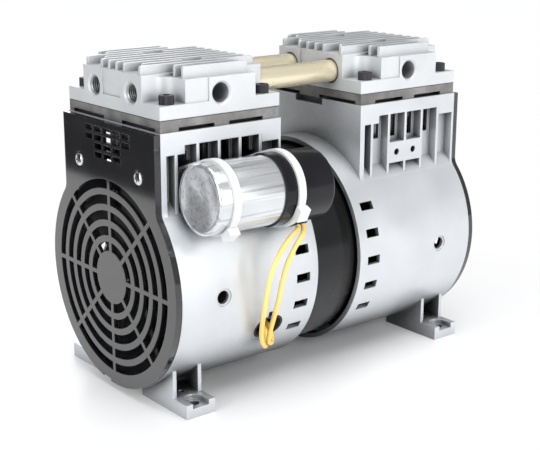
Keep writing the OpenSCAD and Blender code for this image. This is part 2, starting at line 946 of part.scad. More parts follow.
// Outline of the two chambers, which the gasket and the head share
module chamber_outline(grow) {
    for (y = [-1, 1])
        translate([-chamber_x - grow, (y < 0) ? -chamber_out - grow : chamber_in - grow])
            square([2 * (chamber_x + grow), chamber_out - chamber_in + 2 * grow]);
}

module head_gasket() {
    color([0.2, 0.2, 0.2])
        translate([0, 0, deck_z + plate_t])
            linear_extrude(gasket_t)
                difference() {
                    translate([-head_l / 2, -head_w / 2])
                        square([head_l, head_w]);
                    chamber_outline(gasket_rim);
                    head_bolt_places()
                        circle(d = bolt_free_d);
                }
}

// Plan of the head above its flange: a cross whose inner corners are rounded
module block_outline() {
    x = head_l / 2;
    y = head_w / 2;
    difference() {
        translate([-x, -y])
            square([head_l, head_w]);
        for (sx = [-1, 1], sy = [-1, 1])
            scale([sx, sy]) {
                translate([x - notch + head_r, y - notch + head_r])
                    circle(r = head_r);
                translate([x - notch + head_r, y - notch])
                    square([notch, notch + cut]);
                translate([x - notch, y - notch + head_r])
                    square([notch + cut, notch]);
            }
    }
}

// A fin along X with rounded upper ends
module fin(x0, x1, y) {
    translate([0, y + fin_t / 2, 0])
        rotate([90, 0, 0])
            linear_extrude(fin_t) {
                translate([x0, -fin_h])
                    square([x1 - x0, 2 * fin_h - fin_round]);
                translate([x0 + fin_round, 0])
                    square([x1 - x0 - 2 * fin_round, fin_h]);
                for (x = [x0 + fin_round, x1 - fin_round])
                    translate([x, fin_h - fin_round])
                        circle(r = fin_round);
            }
}

module head_fins() {
    for (i = [0:fins - 1]) {
        y = (i - (fins - 1) / 2) * fin_pitch;
        from_mid = abs(i - (fins - 1) / 2);
        over_arm = abs(y) > head_w / 2 - notch;
        reach = over_arm ? head_l / 2 - notch - fin_t / 2 : head_l / 2 - fin_t / 2;
        x0 = (from_mid == short_fin_share) ? -head_l / 2 + short_fin_in : -reach;
        x1 = over_arm ? reach - fin_end_in / 2 : head_l / 2 - fin_end_in;
        fin(x0, x1, y);
    }
}

// A threaded hole along X from the head's end at the given side
module end_port(side, y) {
    translate([side * (head_l / 2 + cut), y, port_h])
        rotate([0, -side * 90, 0]) {
            cylinder(d = port_d, h = port_l + 2 * cut);
            cylinder(d1 = port_mouth_d + 2 * cut, d2 = port_d, h = port_mouth_t + cut);
        }
}

// A plain socket along X for a transfer tube, with a groove for its ring
module tube_socket(side, y) {
    translate([side * (head_l / 2 + cut), y, port_h])
        rotate([0, -side * 90, 0]) {
            cylinder(d = tube_d + 2 * fit, h = port_l + 2 * cut);
            cylinder(d = socket_mouth_d, h = socket_mouth_t + cut);
        }
}

// A head whose threaded ports face the side given, and whose sockets face the other
module cylinder_head(side) {
    z0 = deck_z + plate_t + gasket_t;
    block_z = flange_t + block_h;
    color([0.83, 0.84, 0.86])
        translate([0, 0, z0])
            difference() {
                union() {
                    translate([-head_l / 2, -head_w / 2, 0])
                        cube([head_l, head_w, flange_t]);
                    linear_extrude(block_z - arm_drop)
                        block_outline();
                    translate([-head_l / 2, notch - head_w / 2, 0])
                        cube([head_l, head_w - 2 * notch, block_z]);
                    translate([0, 0, block_z])
                        head_fins();
                }
                for (x = [-1, 1])
                    translate([(x < 0) ? -head_l / 2 - cut : head_l / 2 - pad_step, pad_gap_y0,
                               flange_t])
                        cube([pad_step + cut, pad_gap_y1 - pad_gap_y0, block_h + cut]);
                for (y = [-1, 1])
                    translate([(y < 0) ? notch - head_l / 2 - cut : side_pad_in - cut,
                               (y < 0) ? -head_w / 2 - cut : head_w / 2 - pad_step, flange_t])
                        cube([head_l / 2 - notch - side_pad_in + 2 * cut, pad_step + cut,
                              block_h + cut]);
                for (y = [-1, 1])
                    translate([-pocket_l / 2, (y * short_fin_share - pocket_share / 2) * fin_pitch,
                               block_z - pocket_t])
                        cube([pocket_l, pocket_share * fin_pitch, pocket_t + fin_h + cut]);
                translate([0, 0, -cut])
                    linear_extrude(chamber_h + cut)
                        chamber_outline(0);
                head_bolt_places()
                    translate([0, 0, -cut])
                        cylinder(d = bolt_free_d, h = flange_t + 2 * cut);
                for (y = [-1, 1]) {
                    end_port(side, y * port_y);
                    tube_socket(-side, y * port_y);
                    translate([0, y * (head_w / 2 + cut), port_h])
                        rotate([y * 90, 0, 0]) {
                            cylinder(d = port_d, h = side_port_l + 2 * cut);
                            cylinder(d1 = port_mouth_d + 2 * cut, d2 = port_d,
                                     h = port_mouth_t + cut);
                        }
                }
            }
}

// Four socket-head screws that hold head, gasket and valve plate to the deck
module head_bolts() {
    color([0.08, 0.08, 0.09])
        head_bolt_places()
            translate([0, 0, deck_z + plate_t + gasket_t + flange_t])
                difference() {
                    union() {
                        cylinder(d = bolt_head_d, h = bolt_head_t);
                        translate([0, 0, -bolt_l])
                            cylinder(d = bolt_d, h = bolt_l + cut);
                    }
                    translate([0, 0, bolt_head_t - bolt_key_t])
                        cylinder(d = bolt_key / cos(30), h = bolt_key_t + cut, $fn = 6);
                }
}

// Reed valves: the intake reed hangs under the plate, the exhaust reed lies on it

module reed() {
    color([0.75, 0.76, 0.78])
        difference() {
            translate([-reed_l / 2, -reed_w / 2, 0])
                cube([reed_l, reed_w, reed_t]);
            translate([-reed_l / 2 + reed_screw_in, 0, -cut])
                cylinder(d = reed_hole_d, h = reed_t + 2 * cut);
        }
}

module intake_reed() {
    translate([0, -reed_y, deck_z + reed_pocket_t - reed_lift - reed_t])
        reed();
}

module exhaust_reed() {
    translate([0, reed_y, deck_z + plate_t + reed_lift])
        reed();
}

// A bent strip above the exhaust reed that limits how far it opens
module reed_stop() {
    z0 = plate_t + reed_lift + reed_t + reed_gap;
    x0 = -reed_l / 2;
    x1 = x0 + 2 * reed_screw_in;
    color([0.6, 0.6, 0.62])
        difference() {
            translate([0, reed_y + reed_w / 2, deck_z])
                rotate([90, 0, 0])
                    linear_extrude(reed_w)
                        polygon([[x0, z0], [x1, z0], [reed_l / 2, z0 + stop_rise],
                                 [reed_l / 2, z0 + stop_rise + stop_t], [x1, z0 + stop_t],
                                 [x0, z0 + stop_t]]);
            translate([x0 + reed_screw_in, reed_y, deck_z])
                cylinder(d = reed_screw_d + 2 * fit, h = plate_t + chamber_h);
        }
}

// Two small screws: one through stop and exhaust reed, one under the intake reed
module reed_screws() {
    top_z = deck_z + plate_t + reed_lift + reed_t + reed_gap + stop_t;
    low_z = deck_z + reed_pocket_t - reed_lift - reed_t - reed_gap;
    color([0.6, 0.6, 0.62]) {
        translate([-reed_l / 2 + reed_screw_in, reed_y, top_z]) {
            cylinder(d = reed_screw_head_d, h = reed_screw_head_t);
            translate([0, 0, -plate_t])
                cylinder(d = reed_screw_d, h = plate_t + reed_screw_head_t / 2);
        }
        translate([-reed_l / 2 + reed_screw_in, -reed_y, low_z]) {
            translate([0, 0, -flat_head_t])
                cylinder(d = reed_screw_head_d, h = flat_head_t);
            translate([0, 0, -flat_head_t / 2])
                cylinder(d = reed_screw_d, h = plate_t - reed_pocket_t);
        }
    }
}

// Tubes between the heads

tube_end_x = cyl_x - head_l / 2 + tube_in;
tube_z = deck_z + plate_t + gasket_t + port_h;

module transfer_tube(y) {
    color([0.83, 0.76, 0.56])
        translate([-tube_end_x, y, tube_z])
            rotate([0, 90, 0])
                difference() {
                    cylinder(d = tube_d, h = 2 * tube_end_x);
                    translate([0, 0, -cut])
                        cylinder(d = tube_d - 2 * tube_t, h = 2 * (tube_end_x + cut));
                }
}

// A rubber ring in the mouth of each socket
module tube_o_rings() {
    color([0.1, 0.1, 0.1])
        for (x = [-1, 1], y = [-1, 1])
            translate([x * (cyl_x - head_l / 2 + ring_t / 2 + fit), y * port_y, tube_z])
                rotate([0, 90, 0])
                    rotate_extrude()
                        translate([tube_d / 2 + ring_t / 2 + fit, 0])
                            circle(d = ring_t, $fn = 24);
}

// Motor

module stator_core() {
    color([0.12, 0.12, 0.13])
        difference() {
            ring_x(-stator_x, stator_x, stator_r, rotor_d / 2 + air_gap);
            for (i = [0:stator_slots - 1])
                translate([0, 0, axis_h])
                    rotate([i * 360 / stator_slots, 0, 0]) {
                        translate([-stator_x - cut, slot_in_r, -tooth_w / 2])
                            cube([stator_l + 2 * cut, slot_out_r - slot_in_r, tooth_w]);
                        translate([-stator_x - cut, 0, -slot_mouth / 2])
                            cube([stator_l + 2 * cut, slot_in_r + cut, slot_mouth]);
                    }
            stay_places()
                bar_x(-stator_x - cut, stator_x + cut, stay_d / 2 + fit);
        }
}

// Copper in the slots and the two rounded end rings that join it
module stator_winding() {
    color([0.65, 0.33, 0.16]) {
        for (i = [0:stator_slots - 1])
            translate([0, 0, axis_h])
                rotate([i * 360 / stator_slots, 0, 0])
                    translate([-stator_x - coil_gap - cut, slot_in_r + coil_gap,
                               coil_gap - tooth_w / 2])
                        cube([stator_l + 2 * (coil_gap + cut),
                              slot_out_r - slot_in_r - 2 * coil_gap, tooth_w - 2 * coil_gap]);
        for (side = [0, 180])
            rotate([0, 0, side])
                translate([stator_x + coil_gap, 0, axis_h])
                    rotate([0, 90, 0])
                        rotate_extrude()
                            translate([winding_in_r, 0]) {
                                width = winding_out_r - winding_in_r;
                                depth = winding_l - coil_gap;
                                square([width, depth - winding_round]);
                                translate([winding_round, 0])
                                    square([width - 2 * winding_round, depth]);
                                for (x = [winding_round, width - winding_round])
                                    translate([x, depth - winding_round])
                                        circle(r = winding_round);
                            }
    }
}

// Four long screws with nuts that clamp the stator between the housings
module stator_bolts() {
    reach = stator_x + lug_t;
    color([0.55, 0.56, 0.58])
        stay_places() {
            bar_x(-reach, reach + stay_head_t + lug_back / 2, stay_d / 2);
            bar_x(-reach - stay_head_t, -reach, stay_head_d / 2);
            translate([reach, 0, axis_h])
                rotate([0, 90, 0])
                    cylinder(d = stay_head_d, h = stay_head_t, $fn = 6);
        }
}

// A shielded ball bearing between two distances along the shaft
module ball_bearing(x0, x1, r, r_in) {
    difference() {
        ring_x(x0, x1, r, r_in);
        ring_x(x0 - cut, x0 + shield_in, r - race_t, r_in + race_t);
        ring_x(x1 - shield_in, x1 + cut, r - race_t, r_in + race_t);
    }
}

module main_bearing() {
    color([0.7, 0.71, 0.73])
        ball_bearing(bearing_x0 + fit, bearing_x1, main_bearing_d / 2, shaft_d / 2 + run);
}

// Shaft with a thicker middle that the bearings' inner rings stop against
module shaft() {
    color([0.62, 0.63, 0.65]) {
        bar_x(-shaft_x, shaft_x, shaft_d / 2);
        bar_x(gap - bearing_x0, bearing_x0 - gap, shaft_mid_d / 2);
    }
}

// Laminated rotor with the cage's end rings
module rotor_core() {
    color([0.4, 0.4, 0.42]) {
        ring_x(-stator_x, stator_x, rotor_d / 2, shaft_mid_d / 2 + fit);
        for (side = [0, 180])
            rotate([0, 0, side])
                ring_x(stator_x, stator_x + cage_t, rotor_d / 2 - cage_step, cage_in_r);
    }
}

// Eccentric journal with its flange and counterweight; up is 1 or -1
module eccentric(up) {
    x0 = cyl_x - journal_w / 2;
    color([0.45, 0.46, 0.48])
        difference() {
            union() {
                translate([0, 0, up * throw])
                    bar_x(x0, weight_x0, eccentric_d / 2 - run);
                bar_x(x0 - ecc_flange_t, x0, ecc_flange_r - throw / 2);
                bar_x(weight_x0, weight_x0 + weight_t, ecc_flange_r - throw / 2);
                intersection() {
                    bar_x(weight_x0, weight_x0 + weight_t, weight_r);
                    translate([weight_x0, -weight_r, (up > 0) ? axis_h - weight_r : axis_h])
                        cube([weight_t, 2 * weight_r, weight_r]);
                }
            }
            bar_x(0, end_x, shaft_d / 2 + fit);
            translate([set_screw_x, 0, axis_h])
                rotate([up > 0 ? 180 : 0, 0, 0])
                    cylinder(d = set_screw_d + 2 * fit, h = weight_r + cut);
        }
}

// Axial fan: a hub and flat pitched blades
module fan() {
    mid = fan_x0 + fan_l / 2;
    color([0.1, 0.1, 0.11])
        difference() {
            union() {
                bar_x(fan_x0, fan_x0 + fan_l, fan_hub_r);
                intersection() {
                    for (i = [0:fan_blades - 1])
                        translate([mid, 0, axis_h])
                            rotate([i * 360 / fan_blades, 0, 0])
                                rotate([0, 0, blade_pitch])
                                    translate([-blade_t / 2, -blade_l / 2, 0])
                                        cube([blade_t, blade_l, fan_d]);
                    bar_x(fan_x0 + blade_in, fan_x0 + fan_l - blade_in, fan_d / 2);
                }
            }
            bar_x(0, end_x, shaft_d / 2 + fit);
            translate([mid, 0, axis_h])
                cylinder(d = set_screw_d + 2 * fit, h = fan_hub_r + cut);
        }
}

// Set screws that fix eccentrics and fans to the shaft
module set_screws(up) {
    z0 = shaft_d / 2 + fit;
    translate([set_screw_x, 0, axis_h])
        rotate([up > 0 ? 180 : 0, 0, 0])
            translate([0, 0, z0])
                cylinder(d = set_screw_d, h = weight_r - z0 - cut);
    translate([fan_x0 + fan_l / 2, 0, axis_h + z0])
        cylinder(d = set_screw_d, h = fan_hub_r - z0 - gap);
}

module rotor_set_screws() {
    color([0.2, 0.2, 0.21]) {
        set_screws(1);
        turned()
            set_screws(-1);
    }
}

// Rods and pistons; up is 1 at the top of the stroke and -1 at the bottom

// Rod and piston crown in one piece, as on a rocking piston
module rod(up) {
    pin_z = axis_h + up * throw;
    ring_r = rod_bearing_d / 2 + big_end_wall;
    crown_z = pin_z + rod_l - retainer_t - cup_t - crown_t;
    color([0.72, 0.73, 0.75])
        difference() {
            union() {
                translate([0, 0, up * throw])
                    bar_x(cyl_x - rod_w / 2, cyl_x + rod_w / 2, ring_r);
                translate([cyl_x - rod_w / 2, -stem_w / 2, pin_z])
                    cube([rod_w, stem_w, crown_z - pin_z + cut]);
                translate([cyl_x, 0, crown_z])
                    cylinder(r = crown_r, h = crown_t);
            }
            translate([0, 0, up * throw])
                bar_x(0, end_x, rod_bearing_d / 2 + fit);
            translate([cyl_x, 0, crown_z - retainer_screw_d])
                cylinder(d = retainer_screw_d + 2 * fit, h = crown_t + 2 * retainer_screw_d);
        }
}

module rod_bearing(up) {
    color([0.7, 0.71, 0.73])
        translate([0, 0, up * throw])
            ball_bearing(cyl_x - rod_w / 2, cyl_x + rod_w / 2, rod_bearing_d / 2,
                         eccentric_d / 2);
}

// Cup-shaped seal clamped between crown and retainer
module cup_seal(up) {
    z0 = axis_h + up * throw + rod_l - retainer_t - cup_t;
    color([0.25, 0.2, 0.16])
        translate([cyl_x, 0, z0])
            difference() {
                cylinder(r = crown_r, h = cup_lip_h);
                translate([0, 0, cup_t])
                    cylinder(r = crown_r - cup_t, h = cup_lip_h);
                translate([0, 0, -cut])
                    cylinder(d = retainer_screw_d + 2 * fit, h = cup_t + 2 * cut);
            }
}

module cup_retainer(up) {
    z0 = axis_h + up * throw + rod_l - retainer_t;
    color([0.7, 0.7, 0.72])
        translate([cyl_x, 0, z0])
            difference() {
                cylinder(r = crown_r - retainer_in, h = retainer_t);
                translate([0, 0, -cut])
                    cylinder(d = retainer_screw_d + 2 * fit, h = retainer_t + 2 * cut);
                cylinder(d1 = retainer_screw_d + 2 * fit, d2 = retainer_head_d + 2 * fit,
                         h = retainer_t);
            }
}

module retainer_screw(up) {
    z1 = axis_h + up * throw + rod_l;
    color([0.3, 0.3, 0.31])
        translate([cyl_x, 0, z1 - retainer_t - cup_t - crown_t]) {
            cylinder(d = retainer_screw_d, h = crown_t + cup_t + retainer_t / 2);
            translate([0, 0, crown_t + cup_t])
                cylinder(d1 = retainer_screw_d, d2 = retainer_head_d, h = retainer_t);
        }
}

// Capacitor, its ties and its leads

// Places a shape on the capacitor's axis, at a distance from its outer end
module on_can(along) {
    translate([can_x0, -can_y, can_z])
        rotate([0, can_lean, 0])
            translate([along, 0, 0])
                children();
}

module capacitor_can() {
    color([0.86, 0.87, 0.88])
        on_can(0)
            rotate([0, 90, 0])
                rotate_extrude() {
                    translate([0, can_round])
                        square([can_r, can_l + can_in_cap - can_round]);
                    square([can_r - can_round, can_l]);
                    translate([can_r - can_round, can_round])
                        circle(r = can_round);
                }
}

// Cap over the can's terminals, with a flat outlet for the leads
module capacitor_cap() {
    color([0.05, 0.05, 0.05])
        difference() {
            union() {
                on_can(can_l)
                    rotate([0, 90, 0])
                        rotate_extrude() {
                            square([cap_r, cap_l - cap_round]);
                            square([cap_r - cap_round, cap_l]);
                            translate([cap_r - cap_round, cap_l - cap_round])
                                circle(r = cap_round);
                        }
                on_can(outlet_x)
                    rotate([outlet_angle, 0, 0])
                        translate([-outlet_l / 2, -cap_r - outlet_h, -outlet_w / 2])
                            cube([outlet_l, cap_t + outlet_h, outlet_w]);
            }
            on_can(can_l - cut)
                rotate([0, 90, 0])
                    cylinder(r = can_r + fit, h = cap_l + cut - cap_end_t);
        }
}

// Angle at which a line from a point touches a circle about the can's axis
function touch_angle(p, r, side) =
    atan2(p[1], p[0]) + side * acos(r / norm(p));

// Outline of a taut band round the can and the wall strip behind it, about a point at
// height mid_z on the can's axis
function band(r, t, mid_z) =
    let (inner_y = can_y - cavity_y,
         high = [inner_y + t, axis_h + sill_h + t - mid_z],
         low = [inner_y + t, axis_h + sill_h - tie_slot_drop - t - mid_z],
         from = touch_angle(high, r + t, 1),
         to = 360 + touch_angle(low, r + t, -1))
    concat([low, high],
           [for (i = [0:tie_sides]) let (a = from + (to - from) * i / tie_sides)
               (r + t) * [cos(a), sin(a)]]);

module tie(i, r) {
    x = tie_xs[i];
    mid_z = can_z - (x - can_x0) * tan(can_lean);
    color([0.92, 0.92, 0.9])
        on_can((x - can_x0) / cos(can_lean)) {
            rotate([90, 0, 90])
                translate([0, 0, -tie_w / 2])
                    linear_extrude(tie_w)
                        difference() {
                            polygon(band(r + fit, tie_t, mid_z));
                            polygon(band(r + fit, 0, mid_z));
                        }
            rotate([tie_lock_angles[i], 0, 0])
                translate([-tie_lock[0] / 2, -r - fit - tie_t / 2 - tie_lock[2], -tie_lock[1] / 2])
                    cube([tie_lock[0], tie_lock[2], tie_lock[1]]);
        }
}

// Rubber lining of the cable hole, flush with the housing outside
module cable_grommet() {
    color([0.08, 0.08, 0.08])
        intersection() {
            at_drum(cable_in - end_x, -cable_angle)
                rotate([-90, 0, 0])
                    translate([0, 0, -wall])
                        linear_extrude(3 * wall)
                            difference() {
                                cable_outline(fit);
                                cable_outline(grommet_t);
                            }
            ring_x(-end_x, 0, drum_r, drum_in_r - grommet_in);
        }
}

// Sweeps a round lead along a list of points

function unit(v) = v / norm(v);

function heading(path, i) =
    i == 0 ? unit(path[1] - path[0])
    : i == len(path) - 1 ? unit(path[i] - path[i - 1])
    : unit(unit(path[i] - path[i - 1]) + unit(path[i + 1] - path[i]));

// Side direction at each point, carried along so that the tube doesn't twist
function side_list(path, i, last) =
    i == len(path) ? []
    : let (h = heading(path, i), s = unit(last - (last * h) * h))
      concat([s], side_list(path, i + 1, s));

module swept(path, d, sides) {
    n = len(path);
    start = unit(cross(heading(path, 0), [1, 0, 0]));
    across = side_list(path, 0, start);
    points = [for (i = [0:n - 1], j = [0:sides - 1])
        let (h = heading(path, i), s = across[i], t = cross(h, s), a = j * 360 / sides)
        path[i] + d / 2 * (cos(a) * s + sin(a) * t)];
    walls = [for (i = [0:n - 2], j = [0:sides - 1])
        let (k = (j + 1) % sides)
        [i * sides + j, (i + 1) * sides + j, (i + 1) * sides + k, i * sides + k]];
    ends = [[for (j = [0:sides - 1]) j], [for (j = [0:sides - 1]) n * sides - 1 - j]];
    polyhedron(points = points, faces = concat(walls, ends));
}

module capacitor_lead(path) {
    color([0.93, 0.75, 0.25])
        translate([-cyl_x, 0, 0])
            swept(path, lead_d, lead_sides);
}

left_housing();
right_housing();
turned() fan_cover();  // left_fan_cover
fan_cover();  // right_fan_cover
turned() cover_screws();  // left_cover_screws
cover_screws();  // right_cover_screws
at_cylinder(-1) cylinder_sleeve();  // left_cylinder
at_cylinder(1) cylinder_sleeve();  // right_cylinder
at_cylinder(-1) valve_plate();  // left_valve_plate
at_cylinder(1) valve_plate();  // right_valve_plate
at_cylinder(-1) head_gasket();  // left_head_gasket
at_cylinder(1) head_gasket();  // right_head_gasket
at_cylinder(-1) cylinder_head(-1);  // left_cylinder_head
at_cylinder(1) cylinder_head(1);  // right_cylinder_head
at_cylinder(-1) head_bolts();  // left_head_bolts
at_cylinder(1) head_bolts();  // right_head_bolts
at_cylinder(-1) intake_reed();  // left_intake_reed
at_cylinder(1) intake_reed();  // right_intake_reed
at_cylinder(-1) exhaust_reed();  // left_exhaust_reed
at_cylinder(1) exhaust_reed();  // right_exhaust_reed
at_cylinder(-1) reed_stop();  // left_reed_stop
at_cylinder(1) reed_stop();  // right_reed_stop
at_cylinder(-1) reed_screws();  // left_reed_screws
at_cylinder(1) reed_screws();  // right_reed_screws
transfer_tube(-port_y);  // front_transfer_tube
transfer_tube(port_y);  // rear_transfer_tube
tube_o_rings();
stator_core();
stator_winding();
stator_bolts();
turned() main_bearing();  // left_main_bearing
main_bearing();  // right_main_bearing
cable_grommet();
capacitor_can();
capacitor_cap();
tie(0, can_r);  // can_cable_tie
tie(1, cap_r);  // cap_cable_tie
capacitor_lead(lead_a);  // capacitor_lead_a
capacitor_lead(lead_b);  // capacitor_lead_b
shaft();
rotor_core();
turned() eccentric(-1);  // left_eccentric
eccentric(1);  // right_eccentric
turned() fan();  // left_fan
fan();  // right_fan
rotor_set_screws();
turned() rod(-1);  // left_rod
rod(1);  // right_rod
turned() rod_bearing(-1);  // left_rod_bearing
rod_bearing(1);  // right_rod_bearing
turned() cup_seal(-1);  // left_cup_seal
cup_seal(1);  // right_cup_seal
turned() cup_retainer(-1);  // left_cup_retainer
cup_retainer(1);  // right_cup_retainer
turned() retainer_screw(-1);  // left_retainer_screw
retainer_screw(1);  // right_retainer_screw
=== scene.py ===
"""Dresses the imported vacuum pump: finishes, screws, threads, tubes, capacitor and leads."""

import logging
import math
from dataclasses import dataclass
from enum import Enum
from typing import Callable, Sequence

import bmesh
import bpy
from mathutils import Matrix, Vector


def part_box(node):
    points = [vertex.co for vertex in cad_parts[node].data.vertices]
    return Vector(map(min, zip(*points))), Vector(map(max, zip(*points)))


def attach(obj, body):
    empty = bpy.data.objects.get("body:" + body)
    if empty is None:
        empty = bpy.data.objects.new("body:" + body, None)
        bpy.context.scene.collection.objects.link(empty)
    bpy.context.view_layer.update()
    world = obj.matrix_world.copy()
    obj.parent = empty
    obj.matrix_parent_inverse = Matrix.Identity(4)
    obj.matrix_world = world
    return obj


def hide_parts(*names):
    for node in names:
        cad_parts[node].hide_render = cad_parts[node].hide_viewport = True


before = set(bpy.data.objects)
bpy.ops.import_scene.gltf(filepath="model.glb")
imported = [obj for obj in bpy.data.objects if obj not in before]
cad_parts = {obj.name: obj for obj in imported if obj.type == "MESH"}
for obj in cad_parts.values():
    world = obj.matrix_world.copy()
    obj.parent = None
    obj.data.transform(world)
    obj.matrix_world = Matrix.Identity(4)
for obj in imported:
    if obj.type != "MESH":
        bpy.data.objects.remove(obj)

LOG = logging.getLogger("pump")
MM = 0.001
PUMP = "pump_body"

Pair = tuple[float, float]
Point = tuple[float, float, float]
Colour = tuple[float, float, float]
Piece = bpy.types.Object
Node = bpy.types.Node
Tree = bpy.types.NodeTree
Socket = bpy.types.NodeSocket
Puts = dict[str | int, object]


class Part(Enum):
    """What is picked in edit mode, with the name of its list in a mesh."""

    VERT = "verts"
    FACE = "faces"


def mm(*values: float) -> Point:
    """Gives a point in metres from millimetres."""
    return tuple(value * MM for value in values)


def cad_box(node: str) -> list[list[float]]:
    """Gives the low and high corner of a CAD node in millimetres."""
    return [[value / MM for value in corner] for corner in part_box(node)]


class Bench:
    """Modelling steps by hand tools, each with its own selection handled."""

    @staticmethod
    def clear() -> None:
        """Leaves edit mode and deselects everything."""
        if bpy.context.object and bpy.context.object.mode != "OBJECT":
            Bench.done()
        bpy.ops.object.select_all(action="DESELECT")

    @staticmethod
    def take(piece: Piece) -> None:
        """Selects one piece and makes it the active one."""
        Bench.clear()
        piece.select_set(True)
        bpy.context.view_layer.objects.active = piece

    @staticmethod
    def edit(piece: Piece, part: Part = Part.VERT) -> None:
        """Enters edit mode on a piece with everything selected."""
        Bench.take(piece)
        bpy.ops.object.mode_set(mode="EDIT")
        bpy.ops.mesh.select_mode(type=part.name)
        bpy.ops.mesh.select_all(action="SELECT")

    @staticmethod
    def done() -> None:
        """Leaves edit mode."""
        bpy.ops.object.mode_set(mode="OBJECT")

    @staticmethod
    def named(name: str) -> Piece:
        """Names the active piece and its mesh, and gives it back."""
        piece = bpy.context.object
        piece.name = piece.data.name = name
        return piece

    @staticmethod
    def cylinder(name: str, radius: float, length: float, z: float, sides: int) -> Piece:
        """Adds an upright cylinder on the Z axis, in millimetres.

        Args:
            name: The piece's name.
            radius: Its radius.
            length: Its length.
            z: The height of its middle.
            sides: How many sides it has.

        Returns:
            The cylinder.
        """
        Bench.clear()
        bpy.ops.mesh.primitive_cylinder_add(vertices=sides, radius=radius * MM,
                                            depth=length * MM, location=mm(0, 0, z))
        return Bench.settle(Bench.named(name))

    @staticmethod
    def block(name: str, size: Point, at: Point) -> Piece:
        """Adds a cuboid by its middle, in millimetres.

        Args:
            name: The piece's name.
            size: Its three sides.
            at: Its middle.

        Returns:
            The cuboid.
        """
        Bench.clear()
        bpy.ops.mesh.primitive_cube_add(size=1, location=mm(*at))
        piece = Bench.named(name)
        piece.scale = mm(*size)
        return Bench.settle(piece)

    @staticmethod
    def wire(name: str, points: Sequence[Point]) -> Piece:
        """Draws a line by extruding one point, and stays in edit mode.

        Args:
            name: The piece's name.
            points: The line's points in millimetres.

        Returns:
            The line.
        """
        places = [Vector(mm(*point)) for point in points]
        Bench.clear()
        bpy.ops.mesh.primitive_plane_add(size=MM, location=(0, 0, 0))
        piece = Bench.named(name)
        Bench.edit(piece)
        bpy.ops.mesh.merge(type="CENTER")
        bpy.ops.transform.translate(value=places[0])
        for here, there in zip(places, places[1:]):
            bpy.ops.mesh.extrude_region_move(TRANSFORM_OT_translate={"value": there - here})
        return piece

    @staticmethod
    def lathe(name: str, outline: Sequence[Pair], at: Point, steps: int) -> Piece:
        """Spins an outline about the X direction into a turned piece.

        Args:
            name: The piece's name.
            outline: Pairs of distance along the axis and radius, in millimetres.
            at: Where distance zero is, in millimetres.
            steps: How many steps the turn has.

        Returns:
            The turned piece, with its doubles merged.
        """
        piece = Bench.wire(name, [(along, 0, radius) for along, radius in outline])
        bpy.ops.mesh.select_all(action="SELECT")
        bpy.ops.mesh.spin(steps=steps, angle=math.tau, center=(0, 0, 0), axis=(1, 0, 0))
        bpy.ops.mesh.select_all(action="SELECT")
        bpy.ops.mesh.remove_doubles(threshold=MM / 1000)
        bpy.ops.mesh.normals_make_consistent(inside=False)
        Bench.done()
        piece.location = mm(*at)
        return Bench.settle(piece)

    @staticmethod
    def settle(piece: Piece) -> Piece:
        """Puts a piece's place, turn and scale into its mesh, and gives it back."""
        Bench.take(piece)
        bpy.ops.object.transform_apply(location=True, rotation=True, scale=True)
        return piece

    @staticmethod
    def apply(piece: Piece) -> None:
        """Applies every modifier on a piece, in order."""
        Bench.take(piece)
        for modifier in list(piece.modifiers):
            bpy.ops.object.modifier_apply(modifier=modifier.name)

    @staticmethod
    def bevel(piece: Piece, width: float, segments: int) -> None:
        """Rounds the edges where a piece's faces meet at more than 30 degrees.

        Args:
            piece: The piece to round.
            width: The bevel's width in millimetres.
            segments: How many segments it has.
        """
        tool = piece.modifiers.new("edge", "BEVEL")
        tool.width = width * MM
        tool.segments = segments
        Bench.apply(piece)

    @staticmethod
    def cut(piece: Piece, cutter: Piece) -> None:
        """Cuts one piece from another and removes the cutter.

        Args:
            piece: The piece that loses the cutter's shape.
            cutter: The piece to cut by.
        """
        tool = piece.modifiers.new("cut", "BOOLEAN")
        tool.operation = "DIFFERENCE"
        tool.solver = "EXACT"
        tool.object = cutter
        Bench.apply(piece)
        bpy.data.objects.remove(cutter, do_unlink=True)

    @staticmethod
    def join(pieces: Sequence[Piece], name: str) -> Piece:
        """Joins several pieces into one mesh.

        Args:
            pieces: The pieces, the first of which takes in the others.
            name: The joined piece's name.

        Returns:
            The joined piece.
        """
        Bench.take(pieces[0])
        for piece in pieces:
            piece.select_set(True)
        bpy.ops.object.join()
        return Bench.named(name)

    @staticmethod
    def copy_to(piece: Piece, at: Point, turn: Matrix) -> Piece:
        """Copies a piece made at the origin to a place, with a mesh of its own.

        Args:
            piece: The piece to copy.
            at: Where its origin goes, in millimetres.
            turn: How it is turned first.

        Returns:
            The copy, settled in its place.
        """
        copy = piece.copy()
        copy.data = piece.data.copy()
        bpy.context.collection.objects.link(copy)
        copy.matrix_world = Matrix.Translation(mm(*at)) @ turn
        return Bench.settle(copy)

    @staticmethod
    def smooth(piece: Piece, angle: float) -> None:
        """Shades a piece smooth where its faces meet at less than an angle in degrees."""
        Bench.take(piece)
        bpy.ops.object.shade_smooth_by_angle(angle=math.radians(angle))

    @staticmethod
    def pick(piece: Piece, part: Part, test: Callable[[object], bool]) -> None:
        """Enters edit mode with the points or faces selected that pass a test.

        Args:
            piece: The piece to work on.
            part: What is picked.
            test: Takes a point or face and says whether it is picked.
        """
        Bench.edit(piece, part)
        bpy.ops.mesh.select_all(action="DESELECT")
        shape = bmesh.from_edit_mesh(piece.data)
        for item in getattr(shape, part.value):
            item.select_set(test(item))
        bmesh.update_edit_mesh(piece.data)


def turned(degrees: float, axis: str = "Z") -> Matrix:
    """Gives a turn about an axis of the frame."""
    return Matrix.Rotation(math.radians(degrees), 4, axis)


